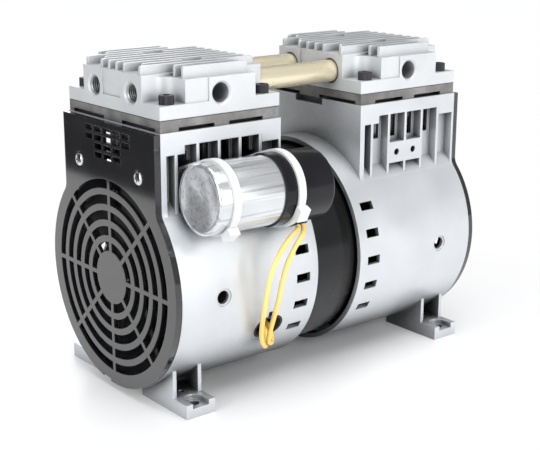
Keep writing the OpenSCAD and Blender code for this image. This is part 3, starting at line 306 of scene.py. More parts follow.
@dataclass
class Wiring:
    """The nodes of one material or group, added and joined by name."""

    tree: Tree

    def put(self, node: Node, puts: Puts) -> None:
        """Links a node's inputs, or sets their values.

        Args:
            node: The node.
            puts: A socket or value for each input, by name or index.
        """
        for key, value in puts.items():
            if isinstance(value, Socket):
                self.tree.links.new(value, node.inputs[key])
            else:
                node.inputs[key].default_value = value

    def add(self, kind: str, puts: Puts | None = None, **settings: object) -> Node:
        """Adds a node of a kind and sets it up.

        Args:
            kind: The node's type, without its ShaderNode start.
            puts: A socket or value for each input, by name or index.
            **settings: Properties of the node, by name.

        Returns:
            The node.
        """
        node = self.tree.nodes.new("ShaderNode" + kind)
        for name, value in settings.items():
            setattr(node, name, value)
        self.put(node, puts or {})
        return node

    def math(self, operation: str, first: object, second: object = 0.0) -> Socket:
        """Gives the result of a Math node on two sockets or numbers."""
        return self.add("Math", {0: first, 1: second}, operation=operation).outputs[0]

    def mix(self, factor: object, first: object, second: object) -> Socket:
        """Adds a colour Mix node.

        Args:
            factor: A socket or number from 0 to 1.
            first: The colour or socket at 0.
            second: The colour or socket at 1.

        Returns:
            The mixed colour.
        """
        ends = [value if isinstance(value, Socket) else (*value, 1.0)
                for value in (first, second)]
        node = self.add("Mix", {0: factor, 6: ends[0], 7: ends[1]}, data_type="RGBA")
        return node.outputs[2]

    def span(self, value: Socket, low: float, high: float, to_low: float = 0.0,
             to_high: float = 1.0) -> Socket:
        """Maps a range of a value to another range.

        Args:
            value: The socket to map.
            low: The value that becomes to_low.
            high: The value that becomes to_high.
            to_low: The new low end.
            to_high: The new high end.

        Returns:
            The mapped value, clamped.
        """
        node = self.add("MapRange", {"Value": value, "From Min": low, "From Max": high,
                                     "To Min": to_low, "To Max": to_high})
        return node.outputs["Result"]

    def place(self) -> Socket:
        """Gives the Object coordinates."""
        return self.add("TexCoord").outputs["Object"]

    def axes(self) -> bpy.types.bpy_prop_collection:
        """Gives the Object coordinates' X, Y and Z."""
        return self.add("SeparateXYZ", {0: self.place()}).outputs

    def squashed(self, place: Socket, scale: Point) -> Socket:
        """Gives coordinates scaled along each axis."""
        return self.add("Mapping", {"Vector": place, "Scale": scale}).outputs["Vector"]

    def noise(self, place: Socket, scale: object, detail: float) -> Socket:
        """Gives the value of a Noise texture."""
        node = self.add("TexNoise", {"Vector": place, "Scale": scale, "Detail": detail})
        return node.outputs["Fac"]


def new_material(name: str) -> tuple[bpy.types.Material, Wiring, Node]:
    """Starts a material with nodes.

    Args:
        name: The material's name.

    Returns:
        The material, its wiring and its shader.
    """
    material = bpy.data.materials.new(name)
    material.use_nodes = True
    return material, Wiring(material.node_tree), material.node_tree.nodes["Principled BSDF"]


class Effect(Enum):
    """Node groups that several finishes use."""

    MOTTLE = "slow mottle"
    GRAIN = "cast grain"
    # Painted shade in hollows and on unlit insides, and a painted highlight on outer edges.
    CAVITY = "cavity and edge"
    BRUSH = "brushed lines"


class EffectShelf:
    """Builds each shared node group once and hands out copies of its node."""

    groups: dict[Effect, Tree] = {}

    def node(self, wiring: Wiring, effect: Effect, **values: float) -> Node:
        """Places a shared effect in a material.

        Args:
            wiring: The material's nodes.
            effect: Which effect to place.
            **values: Its inputs, by name.

        Returns:
            The group node, with Object coordinates on its Place input.
        """
        if effect not in self.groups:
            self.groups[effect] = getattr(self, effect.name.lower())()
        node = wiring.add("Group", node_tree=self.groups[effect])
        wiring.put(node, values)
        if "Place" in node.inputs:
            wiring.put(node, {"Place": wiring.place()})
        return node

    @staticmethod
    def start(effect: Effect, inputs: dict[str, float | None],
              outputs: Sequence[str]) -> tuple[Wiring, object, Node]:
        """Makes an empty group with its sockets.

        Args:
            effect: The effect that the group is for.
            inputs: Each input's value, or None for coordinates.
            outputs: Each output's name.

        Returns:
            The group's wiring, its inputs by name and its output node.
        """
        tree = bpy.data.node_groups.new(effect.value, "ShaderNodeTree")
        for name, value in inputs.items():
            kind = "NodeSocketVector" if value is None else "NodeSocketFloat"
            socket = tree.interface.new_socket(name, in_out="INPUT", socket_type=kind)
            if value is not None:
                socket.default_value = value
        for name in outputs:
            tree.interface.new_socket(name, in_out="OUTPUT", socket_type="NodeSocketFloat")
        source = tree.nodes.new("NodeGroupInput").outputs
        return Wiring(tree), source, tree.nodes.new("NodeGroupOutput")

    def mottle(self) -> Tree:
        """Slow uneven tone, as of sprayed paint or handled metal."""
        wiring, source, sink = self.start(Effect.MOTTLE, {"Place": None, "Scale": 40.0}, ["Tone"])
        broad = wiring.noise(source["Place"], source["Scale"], 4.0)
        wiring.put(sink, {"Tone": wiring.span(broad, 0.35, 0.65)})
        return wiring.tree

    def grain(self) -> Tree:
        """Fine grain of a casting under paint, with a few small pits."""
        wiring, source, sink = self.start(
            Effect.GRAIN, {"Place": None, "Scale": 1500.0}, ["Height", "Fleck"])
        fine = wiring.noise(source["Place"], source["Scale"], 3.0)
        coarse = wiring.add("TexVoronoi", {
            "Vector": source["Place"], "Scale": wiring.math("MULTIPLY", source["Scale"], 0.6),
        }, feature="SMOOTH_F1")
        pits = wiring.math("MULTIPLY", coarse.outputs["Distance"], 0.5)
        wiring.put(sink, {"Height": wiring.math("ADD", fine, pits),
                          "Fleck": wiring.span(fine, 0.62, 0.72)})
        return wiring.tree

    def cavity(self) -> Tree:
        """Masks for painted shade in a shape's hollows and on its unlit inside, and for a painted
        highlight on its outer edges.
        """
        wiring, source, sink = self.start(
            Effect.CAVITY, {"Reach": 0.012, "Room": 0.09, "Edge": 0.0006},
            ["Deep", "Inside", "Rim"])
        hollow = wiring.add("AmbientOcclusion", {"Distance": source["Reach"]}, samples=6)
        enclosed = wiring.add("AmbientOcclusion", {"Distance": source["Room"]}, samples=8)
        round_off = wiring.add("Bevel", {"Radius": source["Edge"]}, samples=4)
        flat = wiring.add("NewGeometry")
        dot = wiring.add("VectorMath", {0: round_off.outputs["Normal"],
                                        1: flat.outputs["Normal"]}, operation="DOT_PRODUCT")
        wiring.put(sink, {"Deep": wiring.span(hollow.outputs["AO"], 0.25, 0.95, 1.0, 0.0),
                          "Inside": wiring.span(enclosed.outputs["AO"], 0.15, 0.45, 1.0, 0.0),
                          "Rim": wiring.span(dot.outputs["Value"], 0.99, 0.86)})
        return wiring.tree

    def brush(self) -> Tree:
        """Fine lines round the X axis, as a lathe or a die leaves them."""
        wiring, source, sink = self.start(
            Effect.BRUSH, {"Place": None, "Scale": 900.0}, ["Height"])
        place = wiring.squashed(source["Place"], (1.0, 0.02, 0.02))
        wiring.put(sink, {"Height": wiring.noise(place, source["Scale"], 5.0)})
        return wiring.tree


SHELF = EffectShelf()


@dataclass(frozen=True)
class Finish:
    """A surface finish: its tones, painted shade and highlight, gloss and fine relief, with
    lengths in millimetres.
    """

    name: str
    colour: Colour
    second: Colour
    rough: Pair = (0.4, 0.5)
    metallic: float = 0.0
    mottle_scale: float = 30.0
    grain_scale: float = 1500.0
    grain_depth: float = 0.03
    # Share of painted shade in hollows; reach is how far hollows are sought, in millimetres.
    deep: float = 0.35
    reach: float = 10.0
    edge: float = 0.5
    # Share of painted shade, near black, on a part's unlit inside.
    inside: float = 0.0
    # Share of painted highlight on outer edges, about edge millimetres wide.
    rim: float = 0.0
    rounding: float = 0.3
    coat: float = 0.0
    coat_rough: float = 0.08
    specular: float = 0.5

    def dimmed(self, share: float, lift: float = 0.0) -> Colour:
        """Gives the first colour at a share of its brightness."""
        return tuple(min(1.0, part * share + lift) for part in self.colour)

    def build(self) -> bpy.types.Material:
        """Makes the material, or gives it back if it is made already.

        Returns:
            The material.
        """
        known = bpy.data.materials.get(self.name)
        if known:
            return known
        material, wiring, shader = new_material(self.name)
        tone = SHELF.node(wiring, Effect.MOTTLE, Scale=self.mottle_scale).outputs["Tone"]
        colour = wiring.mix(tone, self.colour, self.second)
        # Painted light: painted shade in hollows and on the unlit inside, and a painted highlight
        # on outer edges, each mixed in by its share.
        painted_light_masks = SHELF.node(wiring, Effect.CAVITY, Reach=self.reach * MM,
                           Edge=self.edge * MM).outputs
        for mask, weight, target in (("Deep", self.deep, self.dimmed(0.3)),
                                     ("Inside", self.inside, self.dimmed(0.02)),
                                     ("Rim", self.rim, self.dimmed(1.35, 0.03))):
            if weight:
                share = wiring.math("MULTIPLY", painted_light_masks[mask], weight)
                colour = wiring.mix(share, colour, target)
        bump = wiring.add("Bump", {"Strength": 1.0, "Distance": self.grain_depth * MM,
                                   "Height": self.relief(wiring)})
        if self.rounding:
            soft = wiring.add("Bevel", {"Radius": self.rounding * MM}, samples=6)
            wiring.put(bump, {"Normal": soft.outputs["Normal"]})
        wiring.put(shader, {
            "Metallic": self.metallic, "Coat Weight": self.coat,
            "Coat Roughness": self.coat_rough, "Specular IOR Level": self.specular,
            "Base Color": self.pattern(wiring, colour),
            "Roughness": wiring.span(tone, 0.0, 1.0, *self.rough),
            "Normal": bump.outputs["Normal"]})
        return material

    def pattern(self, wiring: Wiring, colour: Socket) -> Socket:
        """Lets a finish add a pattern of its own to the colour."""
        return colour

    def relief(self, wiring: Wiring) -> Socket:
        """Gives the height of the finish's fine relief."""
        return SHELF.node(wiring, Effect.GRAIN, Scale=self.grain_scale).outputs["Height"]


@dataclass(frozen=True)
class FleckedPaint(Finish):
    """Silver paint whose flakes catch the light in fine points."""

    fleck: Colour = (0.95, 0.96, 0.98)
    fleck_share: float = 0.25

    def pattern(self, wiring: Wiring, colour: Socket) -> Socket:
        """Scatters fine flakes over the paint."""
        grain = SHELF.node(wiring, Effect.GRAIN, Scale=self.grain_scale * 2)
        mask = wiring.math("MULTIPLY", grain.outputs["Fleck"], self.fleck_share)
        return wiring.mix(mask, colour, self.fleck)


@dataclass(frozen=True)
class TurnedMetal(Finish):
    """Metal with fine lines round the shaft's direction."""

    def relief(self, wiring: Wiring) -> Socket:
        """Gives the height of the lathe or draw lines."""
        return SHELF.node(wiring, Effect.BRUSH, Scale=self.grain_scale).outputs["Height"]


@dataclass(frozen=True)
class DrawnMetal(Finish):
    """Metal with long thin streaks along the X axis, as drawing leaves them."""

    streak: float = 0.35
    streak_dim: float = 0.45

    def relief(self, wiring: Wiring) -> Socket:
        """Gives the height of the streaks, which is noise stretched along X."""
        place = wiring.squashed(wiring.place(), (0.03, 1.0, 1.0))
        return wiring.noise(place, self.grain_scale, 4.0)

    def pattern(self, wiring: Wiring, colour: Socket) -> Socket:
        """Draws the darker streaks."""
        mask = wiring.span(self.relief(wiring), 0.52, 0.66, 0.0, self.streak)
        return wiring.mix(mask, colour, self.dimmed(self.streak_dim))


@dataclass(frozen=True)
class Laminations(Finish):
    """Lacquered stack of thin sheets along the shaft, with painted shade in a band at its right
    end.
    """

    sheet: float = 0.5
    # The painted shade band: where it starts along X and how soft its edge is in millimetres, and
    # its share of the colour's brightness.
    shade_band_x: float = 7.4
    shade_band_blur: float = 0.2
    shade_band_dim: float = 0.25

    def pattern(self, wiring: Wiring, colour: Socket) -> Socket:
        """Paints shade as a darker band on the right of the stack."""
        mask = wiring.span(wiring.axes()["X"], *mm(self.shade_band_x, self.shade_band_x + self.shade_band_blur))
        return wiring.mix(mask, colour, self.dimmed(self.shade_band_dim))

    def relief(self, wiring: Wiring) -> Socket:
        """Gives the height of the sheets' edges."""
        turns = wiring.math("MULTIPLY", wiring.axes()["X"], math.tau / (self.sheet * MM))
        return wiring.math("SINE", turns)


@dataclass(frozen=True)
class Wound(Finish):
    """Varnished wire laid round the shaft."""

    wire: float = 0.9
    axis_z: float = 71.0
    slant: float = 0.9

    def relief(self, wiring: Wiring) -> Socket:
        """Gives the height of the wires, by their distance from the shaft axis."""
        axes = wiring.axes()
        up = wiring.math("SUBTRACT", axes["Z"], self.axis_z * MM)
        squares = wiring.math("ADD", wiring.math("MULTIPLY", up, up),
                              wiring.math("MULTIPLY", axes["Y"], axes["Y"]))
        across = wiring.math("ADD", wiring.math("SQRT", squares),
                             wiring.math("MULTIPLY", axes["X"], self.slant))
        return wiring.math("SINE", wiring.math("MULTIPLY", across, math.tau / (self.wire * MM)))


@dataclass(frozen=True)
class RibbedNylon(Finish):
    """Nylon of a cable tie with fine teeth round the capacitor."""

    centre: Pair = (-70.27, 129.2)
    teeth: float = 110.0

    def relief(self, wiring: Wiring) -> Socket:
        """Gives the height of the teeth, by the angle round the capacitor."""
        axes = wiring.axes()
        y, z = (wiring.math("SUBTRACT", axes[name], middle * MM)
                for name, middle in zip("YZ", self.centre))
        angle = wiring.math("ARCTAN2", z, y)
        return wiring.math("SINE", wiring.math("MULTIPLY", angle, self.teeth))


class Finishes:
    """Every finish on the pump, and the parts of CAD nodes' names that take them."""

    # Each finish sets its shares of painted shade in hollows and on the unlit inside, and of
    # painted highlight on outer edges.
    HOUSING = FleckedPaint("silver housing paint", (0.6, 0.62, 0.645), (0.65, 0.67, 0.695),
                           rough=(0.34, 0.42), metallic=0.55, grain_depth=0.02, deep=0.5,
                           inside=0.97, rim=0.5, rounding=0.6, coat=0.15)
    HEAD = FleckedPaint("pale head paint", (0.55, 0.565, 0.58), (0.6, 0.615, 0.63),
                        rough=(0.36, 0.44), metallic=0.2, grain_depth=0.04, deep=0.6, reach=9.0,
                        inside=0.6, rim=0.4, rounding=0.6, coat=0.1)
    PLATE = FleckedPaint("cast valve plate", (0.15, 0.147, 0.143), (0.26, 0.255, 0.25),
                         rough=(0.4, 0.6), metallic=0.3, mottle_scale=90, grain_scale=520,
                         grain_depth=0.14, deep=0.8, inside=0.9, rim=0.4,
                         fleck=(0.03, 0.03, 0.03), fleck_share=0.7)
    COVER = Finish("black cover gloss", (0.012, 0.012, 0.014), (0.018, 0.018, 0.02),
                   rough=(0.07, 0.11), grain_scale=2500, grain_depth=0.002, deep=0.2,
                   rounding=0.5, coat=1.0)
    CHROME = Finish("bright screw plating", (0.78, 0.78, 0.79), (0.7, 0.7, 0.72),
                    rough=(0.12, 0.2), metallic=1.0, grain_depth=0.004, deep=0.5, rounding=0.15)
    BLACK_STEEL = Finish("blackened screw steel", (0.03, 0.03, 0.033), (0.045, 0.045, 0.05),
                         rough=(0.3, 0.42), metallic=0.7, grain_depth=0.01, rim=0.5,
                         rounding=0.2)
    BARE = TurnedMetal("machined aluminium", (0.6, 0.61, 0.63), (0.52, 0.53, 0.55),
                       rough=(0.25, 0.38), metallic=1.0, grain_depth=0.01, inside=0.95)
    STEEL = TurnedMetal("ground steel", (0.5, 0.5, 0.52), (0.42, 0.42, 0.44), rough=(0.2, 0.32),
                        metallic=1.0, grain_depth=0.008, inside=0.9)
    CAST = Finish("machined iron", (0.16, 0.165, 0.17), (0.2, 0.2, 0.21), rough=(0.4, 0.55),
                  metallic=0.6, grain_depth=0.04, inside=0.9)
    TUBE = TurnedMetal("pale gold tube", (0.9, 0.82, 0.62), (0.86, 0.77, 0.56), rough=(0.2, 0.28),
                       metallic=0.65, grain_depth=0.004, deep=0.3, rounding=0.0)
    RUBBER = Finish("black rubber", (0.015, 0.015, 0.016), (0.025, 0.025, 0.026),
                    rough=(0.6, 0.75), grain_depth=0.02)
    GASKET = Finish("gasket fibre", (0.05, 0.05, 0.05), (0.08, 0.078, 0.075), rough=(0.8, 0.9))
    LACQUER = Laminations("stator lacquer", (0.006, 0.0065, 0.008), (0.01, 0.0105, 0.012),
                          rough=(0.2, 0.28), grain_depth=0.004, deep=0.2, specular=0.4)
    COPPER = Wound("varnished copper", (0.42, 0.17, 0.06), (0.3, 0.11, 0.04), rough=(0.22, 0.34),
                   metallic=0.8, grain_depth=0.25, deep=0.6, inside=0.9)
    CAN = DrawnMetal("drawn can aluminium", (0.78, 0.795, 0.815), (0.66, 0.68, 0.705),
                     rough=(0.18, 0.26), metallic=0.75, grain_scale=420, grain_depth=0.012,
                     deep=0.2, streak=0.6)
    CAP = Finish("black cap plastic", (0.006, 0.006, 0.008), (0.01, 0.01, 0.013),
                 rough=(0.16, 0.24), grain_scale=2200, grain_depth=0.004, specular=0.35)
    FAN = Finish("black fan plastic", (0.008, 0.008, 0.009), (0.012, 0.012, 0.013),
                 grain_depth=0.02)
    SEAL = Finish("brown seal", (0.1, 0.07, 0.045), (0.13, 0.09, 0.06), rough=(0.5, 0.6))
    TIE = RibbedNylon("white nylon tie", (0.76, 0.775, 0.775), (0.7, 0.715, 0.715),
                      rough=(0.3, 0.38), grain_depth=0.12, deep=0.2, rounding=0.25)
    THREAD = Finish("shaded port thread", (0.4, 0.41, 0.42), (0.3, 0.31, 0.32),
                    rough=(0.3, 0.4), metallic=0.5, grain_depth=0.01, deep=0.9, inside=0.6)
    LEAD = Finish("yellow lead insulation", (0.9, 0.66, 0.22), (0.85, 0.56, 0.14),
                  rough=(0.28, 0.36), grain_scale=2500, grain_depth=0.01, deep=0.2)
    PLAN = ((HOUSING, "housing"), (HEAD, "cylinder_head"), (PLATE, "valve_plate"),
            (GASKET, "head_gasket"), (COVER, "fan_cover"), (TUBE, "transfer_tube"),
            (RUBBER, "tube_o_rings cable_grommet"), (LACQUER, "stator_core"),
            (COPPER, "stator_winding"),
            (STEEL, "stator_bolts main_bearing rod_bearing shaft cup_retainer reed"),
            (CAST, "rotor_core eccentric"), (BLACK_STEEL, "set_screws retainer_screw head_bolts"),
            (SEAL, "cup_seal"), (FAN, "fan"), (BARE, "rod cylinder"), (CHROME, "cover_screws"),
            (TIE, "can_cable_tie cap_cable_tie"), (CAN, "capacitor_can"), (CAP, "capacitor_cap"),
            (LEAD, "capacitor_lead"))


def dress(piece: Piece, finish: Finish, slot: str = "", node: str = "") -> None:
    """Gives a piece its finish, and a made piece its body as well.

    Args:
        piece: The piece.
        finish: Its finish.
        slot: A material slot's name, only checked for being given: any name marks a made piece,
            and nothing a CAD node, which rides already.
        node: The CAD node that it stands for, if any.
    """
    piece.data.materials.clear()
    piece.data.materials.append(finish.build())
    if slot:
        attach(piece, PUMP)
    if node:
        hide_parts(node)


@dataclass
class Studio:
    """Camera, lamps, world, floor and card. Lamps are in metres, the rest in millimetres."""

    eye: Point = (-460.5, -568.4, 285.3)
    azimuth: float = -39.02
    elevation: float = 15.5
    roll: float = 0.19
    lens: float = 78.08
    sensor: float = 36.0
    clip_start: float = 10.0
    aim: Point = (0.0, 0.0, 0.09)
    lamps: Sequence[tuple[str, Point, float, float]] = (
        ("large soft light above", (0.0, -0.25, 1.3), 1.2, 13.0),
        ("front light", (0.1, -1.3, 0.4), 1.0, 14.5),
        ("left light", (-1.3, -0.25, 0.45), 0.8, 9.0),
        ("rear light", (0.3, 1.3, 0.6), 1.0, 7.0))
    world_tone: Colour = (0.92, 0.94, 0.97)
    world_power: float = 0.4
    front: Point = (-0.25, -0.97, 0.0)
    room: Pair = (0.14, 0.32)
    floor_tone: Colour = (0.9, 0.905, 0.91)
    floor_rough: float = 0.32
    floor_fade: Pair = (70.0, 300.0)
    card_at: Point = (-400.0, 380.0, 150.0)
    card_size: Point = (10.0, 560.0, 300.0)
    card_tone: Colour = (0.01, 0.01, 0.01)

    def camera(self) -> None:
        """Places the camera where the photographer stood."""
        data = bpy.data.cameras.new("photo camera")
        data.lens = self.lens
        data.sensor_width = self.sensor
        data.clip_start = self.clip_start * MM
        eye = bpy.data.objects.new("photo camera", data)
        bpy.context.collection.objects.link(eye)
        turn = turned(self.azimuth) @ turned(90 - self.elevation, "X") @ turned(self.roll)
        eye.matrix_world = Matrix.Translation(mm(*self.eye)) @ turn
        bpy.context.scene.camera = eye

    def lamp(self, name: str, at: Point, size: float, power: float) -> None:
        """Adds one soft lamp that faces the pump.

        Args:
            name: The lamp's name.
            at: Its place in metres.
            size: The side of its square face in metres.
            power: Its power in watts.
        """
        data = bpy.data.lights.new(name, "AREA")
        data.size = size
        data.energy = power
        lamp = bpy.data.objects.new(name, data)
        bpy.context.collection.objects.link(lamp)
        lamp.location = at
        way = Vector(self.aim) - Vector(at)
        lamp.rotation_euler = way.to_track_quat("-Z", "Y").to_euler()

    def light(self) -> None:
        """Adds the lamps and a white world."""
        for lamp in self.lamps:
            self.lamp(*lamp)
        world = bpy.data.worlds.new("white room")
        world.use_nodes = True
        wiring = Wiring(world.node_tree)
        nodes = world.node_tree.nodes
        ground = nodes["Background"]
        wiring.put(ground, {"Color": (*self.world_tone, 1.0), "Strength": self.world_power})
        seen = wiring.add("Background", {"Color": self.room_tone(wiring), "Strength": 1.0})
        self.blend(wiring, self.seen_mask(wiring), ground, seen, nodes["World Output"])
        bpy.context.scene.world = world

    def room_tone(self, wiring: Wiring) -> Socket:
        """Gives white to the camera, and to gloss a room that is lit from the front.

        Args:
            wiring: The world's nodes.

        Returns:
            The tone by direction.
        """
        place = wiring.add("TexCoord").outputs["Generated"]
        facing = wiring.add("VectorMath", {0: place, 1: self.front}, operation="DOT_PRODUCT")
        tone = wiring.span(facing.outputs["Value"], -0.7, 0.8, *self.room)
        path = wiring.add("LightPath")
        return wiring.math("MAXIMUM", tone, path.outputs["Is Camera Ray"])

    @staticmethod
    def seen_mask(wiring: Wiring) -> Socket:
        """Gives 1 where a ray comes from the camera, a mirror or glass."""
        rays = wiring.add("LightPath").outputs
        first = wiring.math("MAXIMUM", rays["Is Camera Ray"], rays["Is Glossy Ray"])
        return wiring.math("MAXIMUM", first, rays["Is Transmission Ray"])

    @staticmethod
    def blend(wiring: Wiring, factor: Socket, first: Node, second: Node, output: Node) -> None:
        """Mixes two shaders into an output.

        Args:
            wiring: The nodes to work in.
            factor: How much of the second is seen, from 0 to 1.
            first: The shader at 0.
            second: The shader at 1.
            output: The output node.
        """
        mix = wiring.add("MixShader", {0: factor, 1: first.outputs[0], 2: second.outputs[0]})
        wiring.put(output, {"Surface": mix.outputs[0]})

    def floor(self) -> None:
        """Lays a pale floor that keeps the pump's shadow and fades to white."""
        Bench.clear()
        bpy.ops.mesh.primitive_plane_add(size=12, location=(0, 0, 0))
        floor = Bench.named("studio_floor")
        material, wiring, paint = new_material("studio floor")
        wiring.put(paint, {"Base Color": (*self.floor_tone, 1.0), "Roughness": self.floor_rough})
        glow = wiring.add("Emission", {"Strength": 1.0})
        reach = wiring.add("VectorMath", {0: wiring.place()}, operation="LENGTH")
        far = wiring.span(reach.outputs["Value"], *mm(*self.floor_fade))
        factor = wiring.math("MULTIPLY", far, self.seen_mask(wiring))
        self.blend(wiring, factor, paint, glow, material.node_tree.nodes["Material Output"])
        floor.data.materials.append(material)

    def card(self) -> None:
        """Stands a black card behind the left cover, which only gloss shows."""
        card = Bench.block("studio_card", self.card_size, self.card_at)
        material, wiring, paint = new_material("studio card")
        wiring.put(paint, {"Base Color": (*self.card_tone, 1.0), "Roughness": 0.9})
        card.data.materials.append(material)
        for ray in ("camera", "diffuse", "shadow"):
            setattr(card, f"visible_{ray}", False)

    def build(self) -> None:
        """Sets up camera, light, floor and card."""
        bpy.context.scene.view_settings.view_transform = "Standard"
        self.camera()
        self.light()
        self.floor()
        self.card()
        LOG.info("studio set up")


@dataclass
class CapacitorLeads:
    """The two limp leads from the capacitor's cap into the cable hole."""

    diameter: float = 2.9
    steps: int = 5
    route_a: Sequence[Point] = (
        (-46, -81.8, 108.1), (-46.5, -82.7, 106.9), (-48.6, -84.2, 106.2), (-52, -85.2, 105),
        (-54.9, -85.7, 103.2), (-57.4, -85.9, 101.1), (-59.7, -86, 98.9), (-62, -85.9, 96),
        (-64, -85.5, 92.6), (-65.8, -84.7, 88.2), (-66.8, -83.6, 83), (-67.3, -82.2, 77.5),
        (-67.2, -80.4, 71), (-66.6, -78.4, 64.5), (-65.6, -75.8, 57.5), (-64.3, -73, 51),
        (-63, -70.6, 45), (-61.8, -69, 40.2), (-59.8, -67.4, 36.2), (-57.2, -65.6, 32.9),
        (-54.6, -63.6, 31.5), (-52.8, -61.9, 32.9), (-52, -60.9, 36.2), (-51.6, -59.6, 39.4),
        (-51, -57, 41.2), (-49.8, -53.6, 42.6), (-47.6, -50.2, 44.8), (-44.6, -47, 47.4),
        (-41.4, -45.2, 49.6), (-38.3, -44.6, 50.4))
    route_b: Sequence[Point] = (
        (-42.2, -81.8, 108.1), (-42.6, -82.9, 106.4), (-44.3, -84.8, 104.7), (-46.5, -86.4, 103.6),
        (-48.5, -87.1, 102), (-50.3, -87.2, 100), (-52, -87, 97.6), (-53.6, -86.5, 94.6),
        (-55, -85.7, 91.2), (-56.2, -84.7, 87.2), (-56.9, -83.3, 82), (-57.3, -81.9, 76.5),
        (-57.3, -80.1, 70), (-57, -78, 63.6), (-56.7, -75.4, 57), (-56.4, -72.9, 50.6),
        (-56.2, -70.4, 44.4), (-55.9, -68.6, 39), (-54.8, -66.6, 35.4), (-51.8, -65.1, 33.3),
        (-49.4, -63, 34), (-48.4, -61.3, 36.6), (-48, -59.7, 39.4), (-47.6, -57.2, 41),
        (-46.4, -53.8, 41.5), (-45.2, -50, 42), (-43.4, -46.2, 42.8), (-41, -43, 43.9),
        (-38.3, -41.6, 44.4))

    def smooth_route(self, route: Sequence[Point]) -> list[Vector]:
        """Rounds a route through its points.

        Args:
            route: Points in millimetres.

        Returns:
            Closely spaced points in metres.
        """
        ends = [route[0], *route, route[-1]]
        points = [Vector(mm(*point)) for point in ends]
        line: list[Vector] = []
        for a, b, c, d in zip(points, points[1:], points[2:], points[3:]):
            for step in range(self.steps):
                t = step / self.steps
                line.append(0.5 * (2 * b + (c - a) * t + (2 * a - 5 * b + 4 * c - d) * t * t
                                   + (3 * b - a - 3 * c + d) * t * t * t))
        return [*line, points[-1]]

    def lead(self, name: str, node: str, route: Sequence[Point]) -> None:
        """Makes one lead.

        Args:
            name: The piece's name.
            node: The CAD node that it stands for.
            route: Its route in millimetres.
        """
        line = self.smooth_route(route)
        curve = bpy.data.curves.new(name, "CURVE")
        curve.dimensions = "3D"
        curve.bevel_depth = self.diameter / 2 * MM
        curve.bevel_resolution = 5
        curve.use_fill_caps = True
        spline = curve.splines.new("POLY")
        spline.points.add(len(line) - 1)
        for point, place in zip(spline.points, line):
            point.co = (*place, 1.0)
        piece = bpy.data.objects.new(name, curve)
        bpy.context.collection.objects.link(piece)
        dress(piece, Finishes.LEAD, "yellow_lead", node)

    def build(self) -> None:
        """Makes both leads."""
        self.lead("lead_outer", "capacitor_lead_a", self.route_a)
        self.lead("lead_inner", "capacitor_lead_b", self.route_b)


@dataclass
class HeadScrews:
    """Socket-head screws of the cylinder heads."""

    head_d: float = 8.5
    head_h: float = 4.8
    shank_d: float = 5.0
    shank_l: float = 25.0
    shank_in: float = 1.0
    shank_round: float = 0.5
    key: float = 4.0
    key_depth: float = 2.5
    cutter_l: float = 8.0
    knurls: int = 32
    knurl_share: float = 0.955
    top_inset: float = 0.45
    top_rise: float = 0.35
    turns: Sequence[float] = (7.0, 31.0, 19.0, 48.0)

    def model(self) -> Piece:
        """Models one screw at the origin, its head's seat at height zero.

        Returns:
            The screw.
        """
        head = Bench.cylinder("socket_screw", self.head_d / 2, self.head_h, self.head_h / 2,
                              2 * self.knurls)
        step = math.pi / self.knurls
        Bench.pick(head, Part.VERT,
                   lambda vert: round(math.atan2(vert.co.y, vert.co.x) / step) % 2 == 0)
        bpy.ops.transform.resize(value=(self.knurl_share, self.knurl_share, 1.0),
                                 center_override=(0, 0, 0))
        Bench.done()
        Bench.pick(head, Part.FACE, lambda face: face.normal.z > 0.9)
        bpy.ops.mesh.inset(thickness=self.top_inset * MM, depth=0)
        bpy.ops.transform.translate(value=(0, 0, self.top_rise * MM))
        Bench.done()
        key_r = self.key / 2 / math.cos(math.pi / 6)
        key_z = self.head_h - self.key_depth + self.cutter_l / 2
        Bench.cut(head, Bench.cylinder("socket", key_r, self.cutter_l, key_z, 6))
        shank = Bench.cylinder("shank", self.shank_d / 2, self.shank_l + self.shank_in,
                               (self.shank_in - self.shank_l) / 2, 32)
        Bench.bevel(shank, self.shank_round, 1)
        screw = Bench.join([head, shank], "socket_screw")
        Bench.smooth(screw, 20)
        return screw

    def build(self) -> None:
        """Places four screws on each head."""
        screw = self.model()
        for side in ("left", "right"):
            low, high = cad_box(f"{side}_head_bolts")
            inset = self.head_d / 2
            places = [(x, y, high[2] - self.head_h) for x in (low[0] + inset, high[0] - inset)
                      for y in (low[1] + inset, high[1] - inset)]
            copies = [Bench.copy_to(screw, at, turned(turn))
                      for at, turn in zip(places, self.turns)]
            piece = Bench.join(copies, f"{side}_socket_screws")
            dress(piece, Finishes.BLACK_STEEL, "black_steel", f"{side}_head_bolts")
            LOG.info("%s head screws placed", side)
        bpy.data.objects.remove(screw, do_unlink=True)


